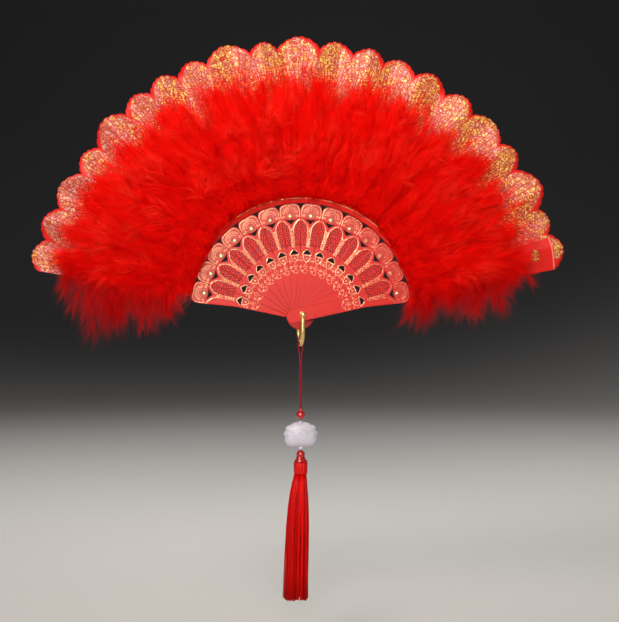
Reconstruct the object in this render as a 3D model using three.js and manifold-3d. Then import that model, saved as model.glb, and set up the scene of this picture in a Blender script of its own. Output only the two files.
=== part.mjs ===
// A folding feather fan: pierced plastic sticks on one pivot pin, a pleated satin leaf
// with a scalloped edge, a band of down feathers, and a tassel that hangs from a bail.
// Millimetres, +Z up. The front of the open fan faces -Y, and the pivot pin lies along Y.

import * as THREE from 'three';
import { mergeVertices } from 'three/addons/utils/BufferGeometryUtils.js';
import Module from 'manifold-3d';

const wasm = await Module();
wasm.setup();

// Clearance between pieces that touch
const GAP = 0.3;

// Sticks: the first and the last are the guards
const STICK_COUNT = 14;
const STICK_STEP_DEG = 12;
const FIRST_STICK_DEG = 12;
const STICK_THICKNESS = 1.2;
const GUARD_THICKNESS = 2;
const SHANK_HALF_WIDTH = 5.5;
const TAIL_REACH = 13;
const BLADE_TOP = 90;
const BLADE_WIDTH = 17.2;
const BLADE_FLARE_START = 52;
const BLADE_SHOULDER = 8.5;
const RIB_END = 212;
const RIB_ROOT_WIDTH = 5;
const RIB_TIP_WIDTH = 4;
const HEART_RADIUS = 75;
const HEART_WIDTH = 7;
const HEART_HEIGHT = 3.7;
const ARROW_RADIUS = 50.5;
const ARROW_WIDTH = 6.2;
const ARROW_HEIGHT = 3.7;
const PAD_FROM_EYE = 6.7;
const PAD_LENGTH = 21;
const PAD_MARGIN = 0.7;
const PAD_HEIGHT = 0.4;

// Pivot pin, its nut and the bail
const PIN_RADIUS = 1.5;
const PIN_HEAD_RADIUS = 2.3;
const PIN_HEAD_HEIGHT = 2.2;
const NUT_HEIGHT = 2;
const BAIL_WIRE = 2.8;
const BAIL_SIDES = 8;
const BAIL_STEPS = 20;
const BAIL_OPENING = 11.2;
const EYE_RADIUS = 3.3;

// Leaf: pleated cloth in front of the ribs
const LEAF_FROM_BLADE = 1.5;
const LEAF_TIP_LARGE = 225;
const LEAF_TIP_SMALL = 222;
const LEAF_VALLEY = 216;
const LEAF_LOBES = 22;
const LEAF_THICKNESS = 0.6;
const LEAF_OVERHANG_DEG = 3;
const LEAF_COLUMN_DEG = 1;
const PLEAT_TILT_DEG = 20;

// Feathers: a soft band in front of the leaf, which also hangs past the guards
const FLUFF_INNER = 97;
const FLUFF_OUTER = 190;
const FLUFF_DEPTH = 25;
const FLUFF_FULLNESS = 0.7;
const PLUMES_PER_TUFT = 3;
const PLUME_REACH = 4;
const PLUME_SWELL = 2;
const FLUFF_COLUMN_DEG = 1;
const FLUFF_POINTS = 9;
const FRONT_DROP_DEG = 18;
const REAR_DROP_DEG = 21;
const DROP_COLUMNS = 6;
const DROP_EDGE_SHARE = 0.3;
const DROP_NOTCH = 0.14;
const DROP_TIP_SHARE = 0.12;

// Tassel, from the cord down
const CORD_DIAMETER = 1.1;
const CORD_SIDES = 8;
const CORD_STEPS = 44;
// One strand from the bead up towards the bail's bow, as [x, z]; the other strand mirrors it
const CORD_STRAND = [[0.75, -79.6], [0.75, -72], [0.75, -62], [0.75, -52], [0.8, -44], [1, -38], [1.5, -32]];
const UPPER_BEAD_RADIUS = 3.7;
const THREAD_ABOVE_LOTUS = 2.2;
const LOTUS_HEIGHT = 21;
const LOTUS_WIDTH = 28.6;
const LOTUS_DEPTH = 9;
const LOTUS_PETALS = 10;
const LOTUS_NOTCH = 0.09;
const LOTUS_FULLNESS = 0.6;
const LOTUS_ROUND_DEG = 83;
const LOTUS_NUB_RADIUS = 2.6;
const LOTUS_NUB_DROP = 2;
const LOWER_BEAD_RADIUS = 3.5;
const BEAD_SEGMENTS = 14;
const CAP_HEIGHT = 2.3;
const CAP_RADIUS = 5;
const COLLAR_HEIGHT = 9.6;
const COLLAR_RADIUS = 5.5;
const COLLAR_ROUND = 1.2;
const SKIRT_HEIGHT = 104.5;
const SKIRT_TOP_RADIUS = 5.6;
const SKIRT_FOOT_RADIUS = 10.4;
const SKIRT_FLUTES = 12;
const SKIRT_FLUTE_DEPTH = 0.5;
// The skirt's swell: the share of its height from the top, and the share of its spread there
const SKIRT_SWELL = [[0, 0], [0.08, 0.25], [0.35, 0.5], [1, 1]];

const degrees = THREE.MathUtils.degToRad;
const lerp = THREE.MathUtils.lerp;

const redPlastic = new THREE.MeshStandardMaterial({ color: 0xe2433c, roughness: 0.35, metalness: 0 });
const gilt = new THREE.MeshStandardMaterial({ color: 0xe8c060, roughness: 0.2, metalness: 1 });
const redSatin = new THREE.MeshStandardMaterial({ color: 0xd8281e, roughness: 0.45, metalness: 0 });
const redDown = new THREE.MeshStandardMaterial({ color: 0xe60a06, roughness: 0.9, metalness: 0 });
const redCord = new THREE.MeshStandardMaterial({ color: 0xa0101c, roughness: 0.6, metalness: 0 });
const redBead = new THREE.MeshStandardMaterial({ color: 0xb00010, roughness: 0.12, metalness: 0 });
const whiteResin = new THREE.MeshStandardMaterial({ color: 0xdad6dc, roughness: 0.35, metalness: 0 });
const redThread = new THREE.MeshStandardMaterial({ color: 0xc80a0a, roughness: 0.55, metalness: 0 });

const fan = new THREE.Group();

function addPiece(name, geometry, material, parent = fan) {
  const mesh = new THREE.Mesh(geometry, material);
  mesh.name = name;
  parent.add(mesh);
}

function numbered(name, index) {
  return `${name}_${String(index).padStart(2, '0')}`;
}

// A closed mesh from points and faces, turned so that its faces point out
function closedGeometry(points, faces) {
  let volume = 0;
  for (const [a, b, c] of faces) {
    const normal = new THREE.Vector3().crossVectors(points[b], points[c]);
    volume += points[a].dot(normal);
  }
  const outward = volume > 0 ? faces : faces.map(([a, b, c]) => [a, c, b]);
  const geometry = new THREE.BufferGeometry().setFromPoints(points);
  geometry.setIndex(outward.flat());
  return geometry;
}

// A closed body through rings that hold the same number of points
function loft(rings) {
  const count = rings[0].length;
  const points = rings.flat();
  const faces = [];
  for (let ring = 0; ring + 1 < rings.length; ring += 1) {
    for (let step = 0; step < count; step += 1) {
      const here = ring * count + step;
      const next = ring * count + ((step + 1) % count);
      faces.push([here, next, next + count]);
      faces.push([here, next + count, here + count]);
    }
  }
  for (const ring of [0, rings.length - 1]) {
    const centre = points.length;
    const sum = rings[ring].reduce((total, point) => total.add(point), new THREE.Vector3());
    points.push(sum.divideScalar(count));
    for (let step = 0; step < count; step += 1) {
      const here = ring * count + step;
      const next = ring * count + ((step + 1) % count);
      faces.push(ring === 0 ? [centre, next, here] : [centre, here, next]);
    }
  }
  return closedGeometry(points, faces);
}

// A body turned about the Y axis from [radius, height] pairs
function turned(profile, segments = 16) {
  const points = profile.map(([radius, height]) => new THREE.Vector2(radius, height));
  return new THREE.LatheGeometry(points, segments);
}

// A body turned about a vertical axis
function turnedUpright(profile, segments = 16) {
  return turned(profile, segments).rotateX(Math.PI / 2);
}

function solidFrom(geometry) {
  const bare = geometry.clone();
  bare.deleteAttribute('normal');
  bare.deleteAttribute('uv');
  const merged = mergeVertices(bare, 1e-4);
  return new wasm.Manifold(new wasm.Mesh({
    numProp: 3,
    vertProperties: new Float32Array(merged.attributes.position.array),
    triVerts: new Uint32Array(merged.index.array),
  }));
}

function geometryFrom(solid) {
  const mesh = solid.getMesh();
  const geometry = new THREE.BufferGeometry();
  geometry.setAttribute('position', new THREE.BufferAttribute(mesh.vertProperties, 3));
  geometry.setIndex(new THREE.BufferAttribute(mesh.triVerts, 1));
  return geometry;
}

// Places on the open fan: an angle above +X in degrees, a distance from the pin, and a depth
function onFan(angle, radius, y) {
  return new THREE.Vector3(radius * Math.cos(degrees(angle)), y, radius * Math.sin(degrees(angle)));
}

const lastStickDeg = FIRST_STICK_DEG + (STICK_COUNT - 1) * STICK_STEP_DEG;
const stackDepth = 2 * GUARD_THICKNESS + (STICK_COUNT - 2) * STICK_THICKNESS + (STICK_COUNT - 1) * GAP;

function stickAngle(index) {
  return FIRST_STICK_DEG + index * STICK_STEP_DEG;
}

function stickThickness(index) {
  return index === 0 || index === STICK_COUNT - 1 ? GUARD_THICKNESS : STICK_THICKNESS;
}

// The depth of a stick's front face
function stickFront(index) {
  const before = index === 0 ? 0 : GUARD_THICKNESS + GAP + (index - 1) * (STICK_THICKNESS + GAP);
  return -stackDepth / 2 + before;
}

// The depth of the sticks' front faces, run smoothly from stick to stick
function slotFront(angle) {
  const place = THREE.MathUtils.clamp((angle - FIRST_STICK_DEG) / STICK_STEP_DEG, 0, STICK_COUNT - 1);
  const index = Math.min(Math.floor(place), STICK_COUNT - 2);
  return lerp(stickFront(index), stickFront(index + 1), place - index);
}

// One stick's outline: a round tail, a parallel shank, a flared blade with a round top, and a rib
function stickShape() {
  const half = BLADE_WIDTH / 2;
  const shoulder = BLADE_TOP - BLADE_SHOULDER;
  const tailCentre = SHANK_HALF_WIDTH - TAIL_REACH;
  const shape = new THREE.Shape();
  shape.absarc(tailCentre, 0, SHANK_HALF_WIDTH, Math.PI / 2, Math.PI * 1.5, false);
  shape.lineTo(BLADE_FLARE_START, -SHANK_HALF_WIDTH);
  shape.lineTo(shoulder, -half);
  shape.quadraticCurveTo(BLADE_TOP, -half, BLADE_TOP, -RIB_ROOT_WIDTH / 2);
  shape.lineTo(RIB_END, -RIB_TIP_WIDTH / 2);
  shape.lineTo(RIB_END, RIB_TIP_WIDTH / 2);
  shape.lineTo(BLADE_TOP, RIB_ROOT_WIDTH / 2);
  shape.quadraticCurveTo(BLADE_TOP, half, shoulder, half);
  shape.lineTo(BLADE_FLARE_START, SHANK_HALF_WIDTH);
  shape.closePath();
  shape.holes.push(pinHole(), heartHole(), arrowHole());
  return shape;
}

function pinHole() {
  const hole = new THREE.Path();
  hole.absarc(0, 0, PIN_RADIUS + GAP, 0, Math.PI * 2, true);
  return hole;
}

// The heart below the medallion: two curved shoulders that meet in a point towards the pin
function heartHole() {
  const hole = new THREE.Path();
  const low = HEART_RADIUS - HEART_HEIGHT / 2;
  const high = HEART_RADIUS + HEART_HEIGHT / 2;
  const side = HEART_WIDTH / 2;
  hole.moveTo(low, 0);
  hole.quadraticCurveTo(HEART_RADIUS, side / 2, high, side);
  hole.quadraticCurveTo(HEART_RADIUS, 0, high, -side);
  hole.quadraticCurveTo(HEART_RADIUS, -side / 2, low, 0);
  return hole;
}

// The arrow head above the gorge: a straight base towards the pin and a bowed point
function arrowHole() {
  const hole = new THREE.Path();
  const low = ARROW_RADIUS - ARROW_HEIGHT / 2;
  const high = ARROW_RADIUS + ARROW_HEIGHT / 2;
  const side = ARROW_WIDTH / 2;
  hole.moveTo(low, -side);
  hole.quadraticCurveTo(ARROW_RADIUS, -side, high, 0);
  hole.quadraticCurveTo(ARROW_RADIUS, side, low, side);
  hole.closePath();
  return hole;
}

// The plain pad on a guard's gorge, where the thumb and the fingers press
function padShape() {
  const half = SHANK_HALF_WIDTH - PAD_MARGIN;
  const start = EYE_RADIUS + PAD_FROM_EYE;
  const end = start + PAD_LENGTH;
  const shape = new THREE.Shape();
  shape.moveTo(start, -half);
  shape.lineTo(end, -half);
  shape.lineTo(end, half);
  shape.lineTo(start, half);
  shape.closePath();
  return shape;
}

// A flat outline of [along the stick, across it], with depth towards the front from its back face
function plate(shape, depth) {
  const settings = { depth, bevelEnabled: false, curveSegments: 5 };
  return new THREE.ExtrudeGeometry(shape, settings).rotateX(Math.PI / 2);
}

function guardGeometry(padOnFront) {
  const blade = plate(stickShape(), GUARD_THICKNESS);
  const pad = plate(padShape(), PAD_HEIGHT + GUARD_THICKNESS / 2);
  pad.translate(0, padOnFront ? -GUARD_THICKNESS / 2 : PAD_HEIGHT, 0);
  return geometryFrom(solidFrom(blade).add(solidFrom(pad)));
}

function addSticks() {
  for (let index = 0; index < STICK_COUNT; index += 1) {
    const turn = new THREE.Group();
    turn.rotation.y = -degrees(stickAngle(index));
    turn.position.y = stickFront(index) + stickThickness(index);
    fan.add(turn);
    if (index === 0) {
      addPiece('guard_front', guardGeometry(true), redPlastic, turn);
    } else if (index === STICK_COUNT - 1) {
      addPiece('guard_rear', guardGeometry(false), redPlastic, turn);
    } else {
      addPiece(numbered('stick', index), plate(stickShape(), STICK_THICKNESS), redPlastic, turn);
    }
  }
}

const eyeFront = -stackDepth / 2 - GAP - BAIL_WIRE;
const eyeBack = stackDepth / 2 + GAP + BAIL_WIRE;
const legDepth = eyeBack - BAIL_WIRE / 2;
const bowZ = -TAIL_REACH - BAIL_OPENING - BAIL_WIRE / 2;

// A domed head from its rim to the axis
function dome(rimRadius, height, base, direction) {
  const points = [];
  const steps = 5;
  for (let step = 0; step <= steps; step += 1) {
    const turn = (step / steps) * (Math.PI / 2);
    points.push([rimRadius * Math.cos(turn), base + direction * height * Math.sin(turn)]);
  }
  points[steps][0] = 0;
  return points;
}

function addPivot() {
  const headBase = eyeFront - GAP;
  const nutBase = eyeBack + GAP;
  const pin = dome(PIN_HEAD_RADIUS, PIN_HEAD_HEIGHT, headBase, -1).reverse();
  pin.push([PIN_RADIUS, headBase], [PIN_RADIUS, nutBase + NUT_HEIGHT / 2 - GAP]);
  pin.push([0, nutBase + NUT_HEIGHT / 2 - GAP]);
  addPiece('pivot_pin', turned(pin), gilt);

  const bore = PIN_RADIUS + GAP;
  const nut = [[bore, nutBase], ...dome(PIN_HEAD_RADIUS, NUT_HEIGHT, nutBase, 1)];
  nut.push([0, nutBase + NUT_HEIGHT / 2], [bore, nutBase + NUT_HEIGHT / 2], [bore, nutBase]);
  addPiece('pin_nut', turned(nut), gilt);
}

// A round wire along a curve
function wire(curve, diameter, sides, steps) {
  const section = new THREE.Shape();
  section.absarc(0, 0, diameter / 2, 0, Math.PI * 2, false);
  const settings = { extrudePath: curve, steps, curveSegments: sides / 2, bevelEnabled: false };
  return new THREE.ExtrudeGeometry(section, settings);
}

// A half circle in the YZ plane that hangs below its two ends
class BowCurve extends THREE.Curve {
  constructor(radius, centreZ) {
    super();
    this.radius = radius;
    this.centreZ = centreZ;
  }

  getPoint(share, target = new THREE.Vector3()) {
    const turn = Math.PI * share;
    return target.set(0, -this.radius * Math.cos(turn), this.centreZ - this.radius * Math.sin(turn));
  }
}

// The bail: two legs from the pin's ends to a round bow below the tails
function addBail() {
  const bowCentre = bowZ + legDepth;
  const legTop = -(PIN_RADIUS + GAP + EYE_RADIUS) / 2;
  const path = new THREE.CurvePath();
  path.add(new THREE.LineCurve3(
    new THREE.Vector3(0, -legDepth, legTop),
    new THREE.Vector3(0, -legDepth, bowCentre),
  ));
  path.add(new BowCurve(legDepth, bowCentre));
  path.add(new THREE.LineCurve3(
    new THREE.Vector3(0, legDepth, bowCentre),
    new THREE.Vector3(0, legDepth, legTop),
  ));
  const bore = PIN_RADIUS + GAP;
  let bail = solidFrom(wire(path, BAIL_WIRE, BAIL_SIDES, BAIL_STEPS));
  for (const base of [eyeFront, eyeBack - BAIL_WIRE]) {
    const top = base + BAIL_WIRE;
    const eye = turned([[bore, base], [EYE_RADIUS, base], [EYE_RADIUS, top], [bore, top], [bore, base]]);
    const passage = turned([[0, base - GAP], [bore, base - GAP], [bore, top + GAP], [0, top + GAP]]);
    bail = bail.add(solidFrom(eye)).subtract(solidFrom(passage));
  }
  addPiece('bail', geometryFrom(bail), gilt);
}

const pleatTilt = Math.tan(degrees(PLEAT_TILT_DEG));
const foldRise = pleatTilt * degrees(STICK_STEP_DEG / 4);
const leafInner = BLADE_TOP + LEAF_FROM_BLADE;
const leafStandoff = (RIB_ROOT_WIDTH / 2) * pleatTilt + GAP + LEAF_THICKNESS;

// The pleats' zigzag: -1 at a front fold, 1 at a rear fold, 0 at each stick and half way between
function pleatWave(angle) {
  const place = (angle - FIRST_STICK_DEG) / STICK_STEP_DEG;
  const turn = place - Math.floor(place);
  if (turn < 0.25) {
    return -turn / 0.25;
  }
  return turn < 0.75 ? (turn - 0.5) / 0.25 : (1 - turn) / 0.25;
}

// The leaf's middle surface
function leafDepth(angle, radius) {
  return slotFront(angle) - leafStandoff + pleatWave(angle) * radius * foldRise;
}

// The scalloped edge: large and small lobes in turn
function leafEdge(angle) {
  const start = FIRST_STICK_DEG - LEAF_OVERHANG_DEG;
  const span = lastStickDeg - FIRST_STICK_DEG + 2 * LEAF_OVERHANG_DEG;
  const place = THREE.MathUtils.clamp(((angle - start) / span) * LEAF_LOBES, 0, LEAF_LOBES - 1e-6);
  const lobe = Math.floor(place);
  const across = 2 * (place - lobe) - 1;
  const tip = lobe % 2 === 0 ? LEAF_TIP_LARGE : LEAF_TIP_SMALL;
  return LEAF_VALLEY + (tip - LEAF_VALLEY) * Math.sqrt(Math.max(0, 1 - across * across));
}

// Evenly spaced angles, with the two ends drawn in by half a clearance
function columns(from, to, step, innerRadius) {
  const count = Math.max(1, Math.round((to - from) / step));
  const inset = THREE.MathUtils.radToDeg(GAP / 2 / innerRadius);
  const angles = [];
  for (let column = 0; column <= count; column += 1) {
    angles.push(lerp(from, to, column / count));
  }
  angles[0] += inset;
  angles[count] -= inset;
  return angles;
}

function leafPiece(from, to) {
  const half = LEAF_THICKNESS / 2;
  const rings = columns(from, to, LEAF_COLUMN_DEG, leafInner).map((angle) => {
    const edge = leafEdge(angle);
    const inner = leafDepth(angle, leafInner);
    const outer = leafDepth(angle, edge);
    return [
      onFan(angle, leafInner, inner - half),
      onFan(angle, edge, outer - half),
      onFan(angle, edge, outer + half),
      onFan(angle, leafInner, inner + half),
    ];
  });
  return loft(rings);
}

function addLeaf() {
  for (let index = 1; index < STICK_COUNT; index += 1) {
    const piece = leafPiece(stickAngle(index - 1), stickAngle(index));
    addPiece(numbered('leaf_pleat', index), piece, redSatin);
  }
  addPiece('leaf_hem_front', leafPiece(FIRST_STICK_DEG - LEAF_OVERHANG_DEG, FIRST_STICK_DEG), redSatin);
  addPiece('leaf_hem_rear', leafPiece(lastStickDeg, lastStickDeg + LEAF_OVERHANG_DEG), redSatin);
}

// A feather tuft's section: a straight back that clears the pleats' front folds, and a full front
function fluffSection(angle, inner, outer, depth) {
  const section = [];
  for (let point = 0; point < FLUFF_POINTS; point += 1) {
    const share = point / (FLUFF_POINTS - 1);
    const radius = lerp(inner, outer, share);
    const back = slotFront(angle) - leafStandoff - LEAF_THICKNESS / 2 - GAP - radius * foldRise;
    const swell = depth * Math.sin(Math.PI * share) ** FLUFF_FULLNESS;
    section.push(onFan(angle, radius, back - swell));
  }
  return section;
}

// The plumes' ripple along the band, from -1 to 1
function plumeWave(angle) {
  const place = (angle - FIRST_STICK_DEG) / STICK_STEP_DEG;
  return -Math.cos(2 * Math.PI * PLUMES_PER_TUFT * place);
}

function tuftPiece(from, to) {
  const rings = columns(from, to, FLUFF_COLUMN_DEG, FLUFF_INNER).map((angle) => {
    const ripple = plumeWave(angle);
    const outer = FLUFF_OUTER + PLUME_REACH * ripple;
    return fluffSection(angle, FLUFF_INNER, outer, FLUFF_DEPTH + PLUME_SWELL * ripple);
  });
  return loft(rings);
}

// The feathers past a guard: plumes of unequal length that thin out as they hang below it
function dropPiece(guardAngle, drop) {
  const inset = THREE.MathUtils.radToDeg(GAP / 2 / FLUFF_INNER) * Math.sign(drop);
  const outer = FLUFF_OUTER - PLUME_REACH;
  const rings = [];
  for (let column = 0; column <= DROP_COLUMNS; column += 1) {
    const down = column / DROP_COLUMNS;
    const fullness = Math.sqrt(1 - (1 - DROP_TIP_SHARE ** 2) * down ** 2);
    const depth = (FLUFF_DEPTH - PLUME_SWELL) * fullness;
    rings.push(fluffSection(guardAngle, FLUFF_INNER, outer, depth).map((point, index) => {
      const middle = Math.sin((Math.PI * index) / (FLUFF_POINTS - 1));
      const reach = lerp(DROP_EDGE_SHARE, 1, middle) * (1 - DROP_NOTCH * (index % 2));
      const turn = inset + (drop * reach - inset) * down;
      return point.applyAxisAngle(new THREE.Vector3(0, -1, 0), degrees(turn));
    }));
  }
  return loft(rings);
}

function addFeathers() {
  for (let index = 1; index < STICK_COUNT; index += 1) {
    const tuft = tuftPiece(stickAngle(index - 1), stickAngle(index));
    addPiece(numbered('feather_tuft', index), tuft, redDown);
  }
  addPiece('feather_end_front', dropPiece(FIRST_STICK_DEG, -FRONT_DROP_DEG), redDown);
  addPiece('feather_end_rear', dropPiece(lastStickDeg, REAR_DROP_DEG), redDown);
}

const coreBore = CORD_DIAMETER / 2 + GAP;
const strandFoot = CORD_STRAND[0][1];
const upperBeadZ = strandFoot - GAP - UPPER_BEAD_RADIUS;
const lotusTop = upperBeadZ - UPPER_BEAD_RADIUS - THREAD_ABOVE_LOTUS;
const lotusFoot = lotusTop - LOTUS_HEIGHT;
const nubFoot = lotusFoot - LOTUS_NUB_DROP;
const lowerBeadZ = nubFoot - GAP - LOWER_BEAD_RADIUS;
const capTop = lowerBeadZ - LOWER_BEAD_RADIUS - GAP;
const collarTop = capTop - CAP_HEIGHT - GAP;
const skirtTop = collarTop - COLLAR_HEIGHT - GAP;

// The doubled cord: up from the bead, over the bail's bow and down again
function cordPoints() {
  const loop = BAIL_WIRE / 2 + GAP + CORD_DIAMETER / 2;
  const slant = loop * Math.SQRT1_2;
  const right = [...CORD_STRAND, [loop, bowZ], [slant, bowZ + slant], [0, bowZ + loop]];
  const left = right.slice(0, -1).reverse().map(([x, z]) => [-x, z]);
  return [...right, ...left].map(([x, z]) => new THREE.Vector3(x, 0, z));
}

// A bead bored for the cord
function bead(radius, centre) {
  const profile = [];
  const steps = 8;
  const start = Math.acos(coreBore / radius);
  for (let step = 0; step <= steps; step += 1) {
    const turn = lerp(-start, start, step / steps);
    profile.push([radius * Math.cos(turn), centre + radius * Math.sin(turn)]);
  }
  profile.push(profile[0]);
  return turnedUpright(profile, BEAD_SEGMENTS);
}

// The lotus: a pillow with a notched petal outline, bored for the cord, with a nub below
function lotusGeometry() {
  const middle = (lotusTop + lotusFoot) / 2;
  const layers = 6;
  const around = LOTUS_PETALS * 4;
  const lastTurn = degrees(LOTUS_ROUND_DEG);
  const rings = [];
  for (let layer = 0; layer <= layers; layer += 1) {
    const turn = lerp(-lastTurn, lastTurn, layer / layers);
    const ring = [];
    for (let step = 0; step < around; step += 1) {
      const angle = (step / around) * Math.PI * 2;
      const notch = 1 - LOTUS_NOTCH * (1 - Math.abs(Math.sin((LOTUS_PETALS * angle) / 2)));
      const spread = notch * Math.cos(turn) ** LOTUS_FULLNESS;
      const x = (LOTUS_WIDTH / 2) * spread * Math.cos(angle);
      const z = middle + (LOTUS_HEIGHT / 2) * spread * Math.sin(angle);
      ring.push(new THREE.Vector3(x, (LOTUS_DEPTH / 2) * Math.sin(turn), z));
    }
    rings.push(ring);
  }
  const rim = coreBore + GAP;
  const nub = turnedUpright([[0, nubFoot], [rim, nubFoot], [LOTUS_NUB_RADIUS, lotusFoot], [0, middle]]);
  const low = nubFoot - GAP;
  const high = lotusTop + GAP;
  const bore = turnedUpright([[0, low], [coreBore, low], [coreBore, high], [0, high]]);
  return geometryFrom(solidFrom(loft(rings)).add(solidFrom(nub)).subtract(solidFrom(bore)));
}

// The skirt of threads: a fluted body that widens towards its foot
function skirtGeometry() {
  const around = SKIRT_FLUTES * 4;
  const rings = SKIRT_SWELL.map(([down, spread]) => {
    const ring = [];
    for (let step = 0; step < around; step += 1) {
      const angle = (step / around) * Math.PI * 2;
      const flute = SKIRT_FLUTE_DEPTH * Math.cos(SKIRT_FLUTES * angle);
      const radius = lerp(SKIRT_TOP_RADIUS, SKIRT_FOOT_RADIUS, spread) - SKIRT_FLUTE_DEPTH + flute;
      const z = skirtTop - SKIRT_HEIGHT * down;
      ring.push(new THREE.Vector3(radius * Math.cos(angle), radius * Math.sin(angle), z));
    }
    return ring;
  });
  return loft(rings);
}

function addTassel() {
  const strands = new THREE.CatmullRomCurve3(cordPoints());
  addPiece('hanging_cord', wire(strands, CORD_DIAMETER, CORD_SIDES, CORD_STEPS), redCord);

  const coreTop = strandFoot - GAP;
  const coreFoot = collarTop + GAP;
  const core = new THREE.LineCurve3(new THREE.Vector3(0, 0, coreTop), new THREE.Vector3(0, 0, coreFoot));
  addPiece('core_cord', wire(core, CORD_DIAMETER, CORD_SIDES, 1), redCord);

  addPiece('upper_bead', bead(UPPER_BEAD_RADIUS, upperBeadZ), redBead);
  addPiece('lotus_pendant', lotusGeometry(), whiteResin);
  addPiece('lower_bead', bead(LOWER_BEAD_RADIUS, lowerBeadZ), redBead);

  const capFoot = capTop - CAP_HEIGHT;
  const capRim = (coreBore + CAP_RADIUS) / 2;
  const cap = [[coreBore, capFoot], [CAP_RADIUS, capFoot], [CAP_RADIUS, capFoot + CAP_HEIGHT / 2]];
  cap.push([capRim, capTop], [coreBore, capTop], [coreBore, capFoot]);
  addPiece('tassel_cap', turnedUpright(cap), redThread);

  const collarFoot = collarTop - COLLAR_HEIGHT;
  const edge = COLLAR_RADIUS - COLLAR_ROUND / 2;
  const collar = [[0, collarFoot], [edge, collarFoot], [COLLAR_RADIUS, collarFoot + COLLAR_ROUND]];
  collar.push([COLLAR_RADIUS, collarTop - COLLAR_ROUND], [edge, collarTop], [0, collarTop]);
  addPiece('tassel_collar', turnedUpright(collar), redThread);

  addPiece('tassel_skirt', skirtGeometry(), redThread);
}

addSticks();
addPivot();
addBail();
addLeaf();
addFeathers();
addTassel();

export default fan;
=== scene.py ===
"""The looks of a red folding feather fan with a tassel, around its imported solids.

Metres, +Z up. The origin is on the pivot pin, the open fan's front faces -Y, and the pin lies along Y.
A stick's own places are u, its distance out from the pin, v, across it, and a height above its back.
"""

import math

import bmesh
import bpy
import numpy as np
from mathutils import Matrix, Vector


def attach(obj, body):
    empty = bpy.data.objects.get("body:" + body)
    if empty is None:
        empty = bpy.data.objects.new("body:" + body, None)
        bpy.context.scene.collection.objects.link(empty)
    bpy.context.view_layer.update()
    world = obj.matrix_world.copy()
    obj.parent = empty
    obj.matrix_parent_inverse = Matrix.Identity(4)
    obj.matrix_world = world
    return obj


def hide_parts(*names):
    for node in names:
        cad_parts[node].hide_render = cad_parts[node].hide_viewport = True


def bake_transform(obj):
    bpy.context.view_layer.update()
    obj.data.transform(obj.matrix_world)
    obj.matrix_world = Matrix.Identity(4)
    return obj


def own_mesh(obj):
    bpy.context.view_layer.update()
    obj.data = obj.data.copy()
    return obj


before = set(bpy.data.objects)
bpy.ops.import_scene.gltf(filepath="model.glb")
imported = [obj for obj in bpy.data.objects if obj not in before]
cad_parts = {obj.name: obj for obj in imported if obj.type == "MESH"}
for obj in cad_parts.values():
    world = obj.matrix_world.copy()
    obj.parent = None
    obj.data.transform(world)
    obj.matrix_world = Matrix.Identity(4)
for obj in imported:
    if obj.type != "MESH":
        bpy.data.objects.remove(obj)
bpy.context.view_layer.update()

MM = 0.001

# The camera: the photograph is 619 pixels wide, and its pivot pin is at PIVOT_PIXEL
PHOTO_WIDTH = 619
PHOTO_HEIGHT = 622
PIVOT_PIXEL = (300.6, 313.5)
PIXEL_SIZE = 0.82 * MM
VIEW_DISTANCE = 1.2
VIEW_AZIMUTH = -8
VIEW_ELEVATION = 3
SENSOR_WIDTH = 36

# The studio
FLOOR_Z = -275 * MM
FLOOR_RADIUS = 1.7
WALL_RADIUS = 2.6
WALL_HEIGHT = 3.0

# Sticks, as in the solids: the first is the front guard and the last is the rear guard
GAP = 0.3 * MM
STICK_COUNT = 14
STICK_STEP = 12
FIRST_STICK = 12
LAST_STICK = FIRST_STICK + (STICK_COUNT - 1) * STICK_STEP
STICK_THICKNESS = 1.2 * MM
GUARD_THICKNESS = 2 * MM
STACK_DEPTH = 2 * GUARD_THICKNESS + (STICK_COUNT - 2) * STICK_THICKNESS + (STICK_COUNT - 1) * GAP
SHANK_HALF = 5.5 * MM
TAIL_REACH = 13 * MM
FLARE_START = 52 * MM
BLADE_HALF = 8.85 * MM
BLADE_TOP = 90 * MM
BLADE_SHOULDER = 83.5 * MM
BLADE_FLAT_HALF = 3.4 * MM
RIB_END = 212 * MM
RIB_ROOT_HALF = 2.5 * MM
RIB_TIP_HALF = 2 * MM
PIN_HOLE = 1.8 * MM
HEART_U = 75.6 * MM
HEART_HALF_WIDTH = 5.1 * MM
HEART_HALF_HEIGHT = 2.4 * MM
ARROW_U = 50.5 * MM
ARROW_HALF_WIDTH = 3.1 * MM
ARROW_HALF_HEIGHT = 1.85 * MM
STICK_EDGE = 0.18 * MM
PAD_START = 10 * MM
PAD_END = 31 * MM
PAD_HALF = 4.8 * MM
PAD_HEIGHT = 0.4 * MM

# Ornament on a stick's face
RING_U = 81.6 * MM
RING_RADII = (6.3 * MM, 4.8 * MM, 3.4 * MM)
BOSS_U = 79.9 * MM
BOSS_RADIUS = 2.6 * MM
COLUMN_FOOT = 54.4 * MM
COLUMN_TOP = 71 * MM
COLUMN_HALF = 1.25 * MM
CHAIN_STEP = 1.75 * MM
# The gold arm beside the column, from its foot out to the stick's edge, as (u, v)
ARM = np.array([(66, 1.3), (69.5, 1.5), (72.2, 2.4), (74.6, 4.2), (76.2, 6.2), (76.8, 7.7)]) * MM
PIERCED_RADIUS = 0.62 * MM
PIERCED_STEP = 2 * MM
PIERCED_FROM_ARM = 1.2 * MM
PIERCED_FROM_EDGE = 1.1 * MM
FIELD_RISE = 0.1 * MM
RIDGE_RADIUS = 0.32 * MM
RIDGE_FROM_EDGE = 0.5 * MM
RIDGE_FROM_ARM = 1.5 * MM
STUD_HEIGHT = 0.6

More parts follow.
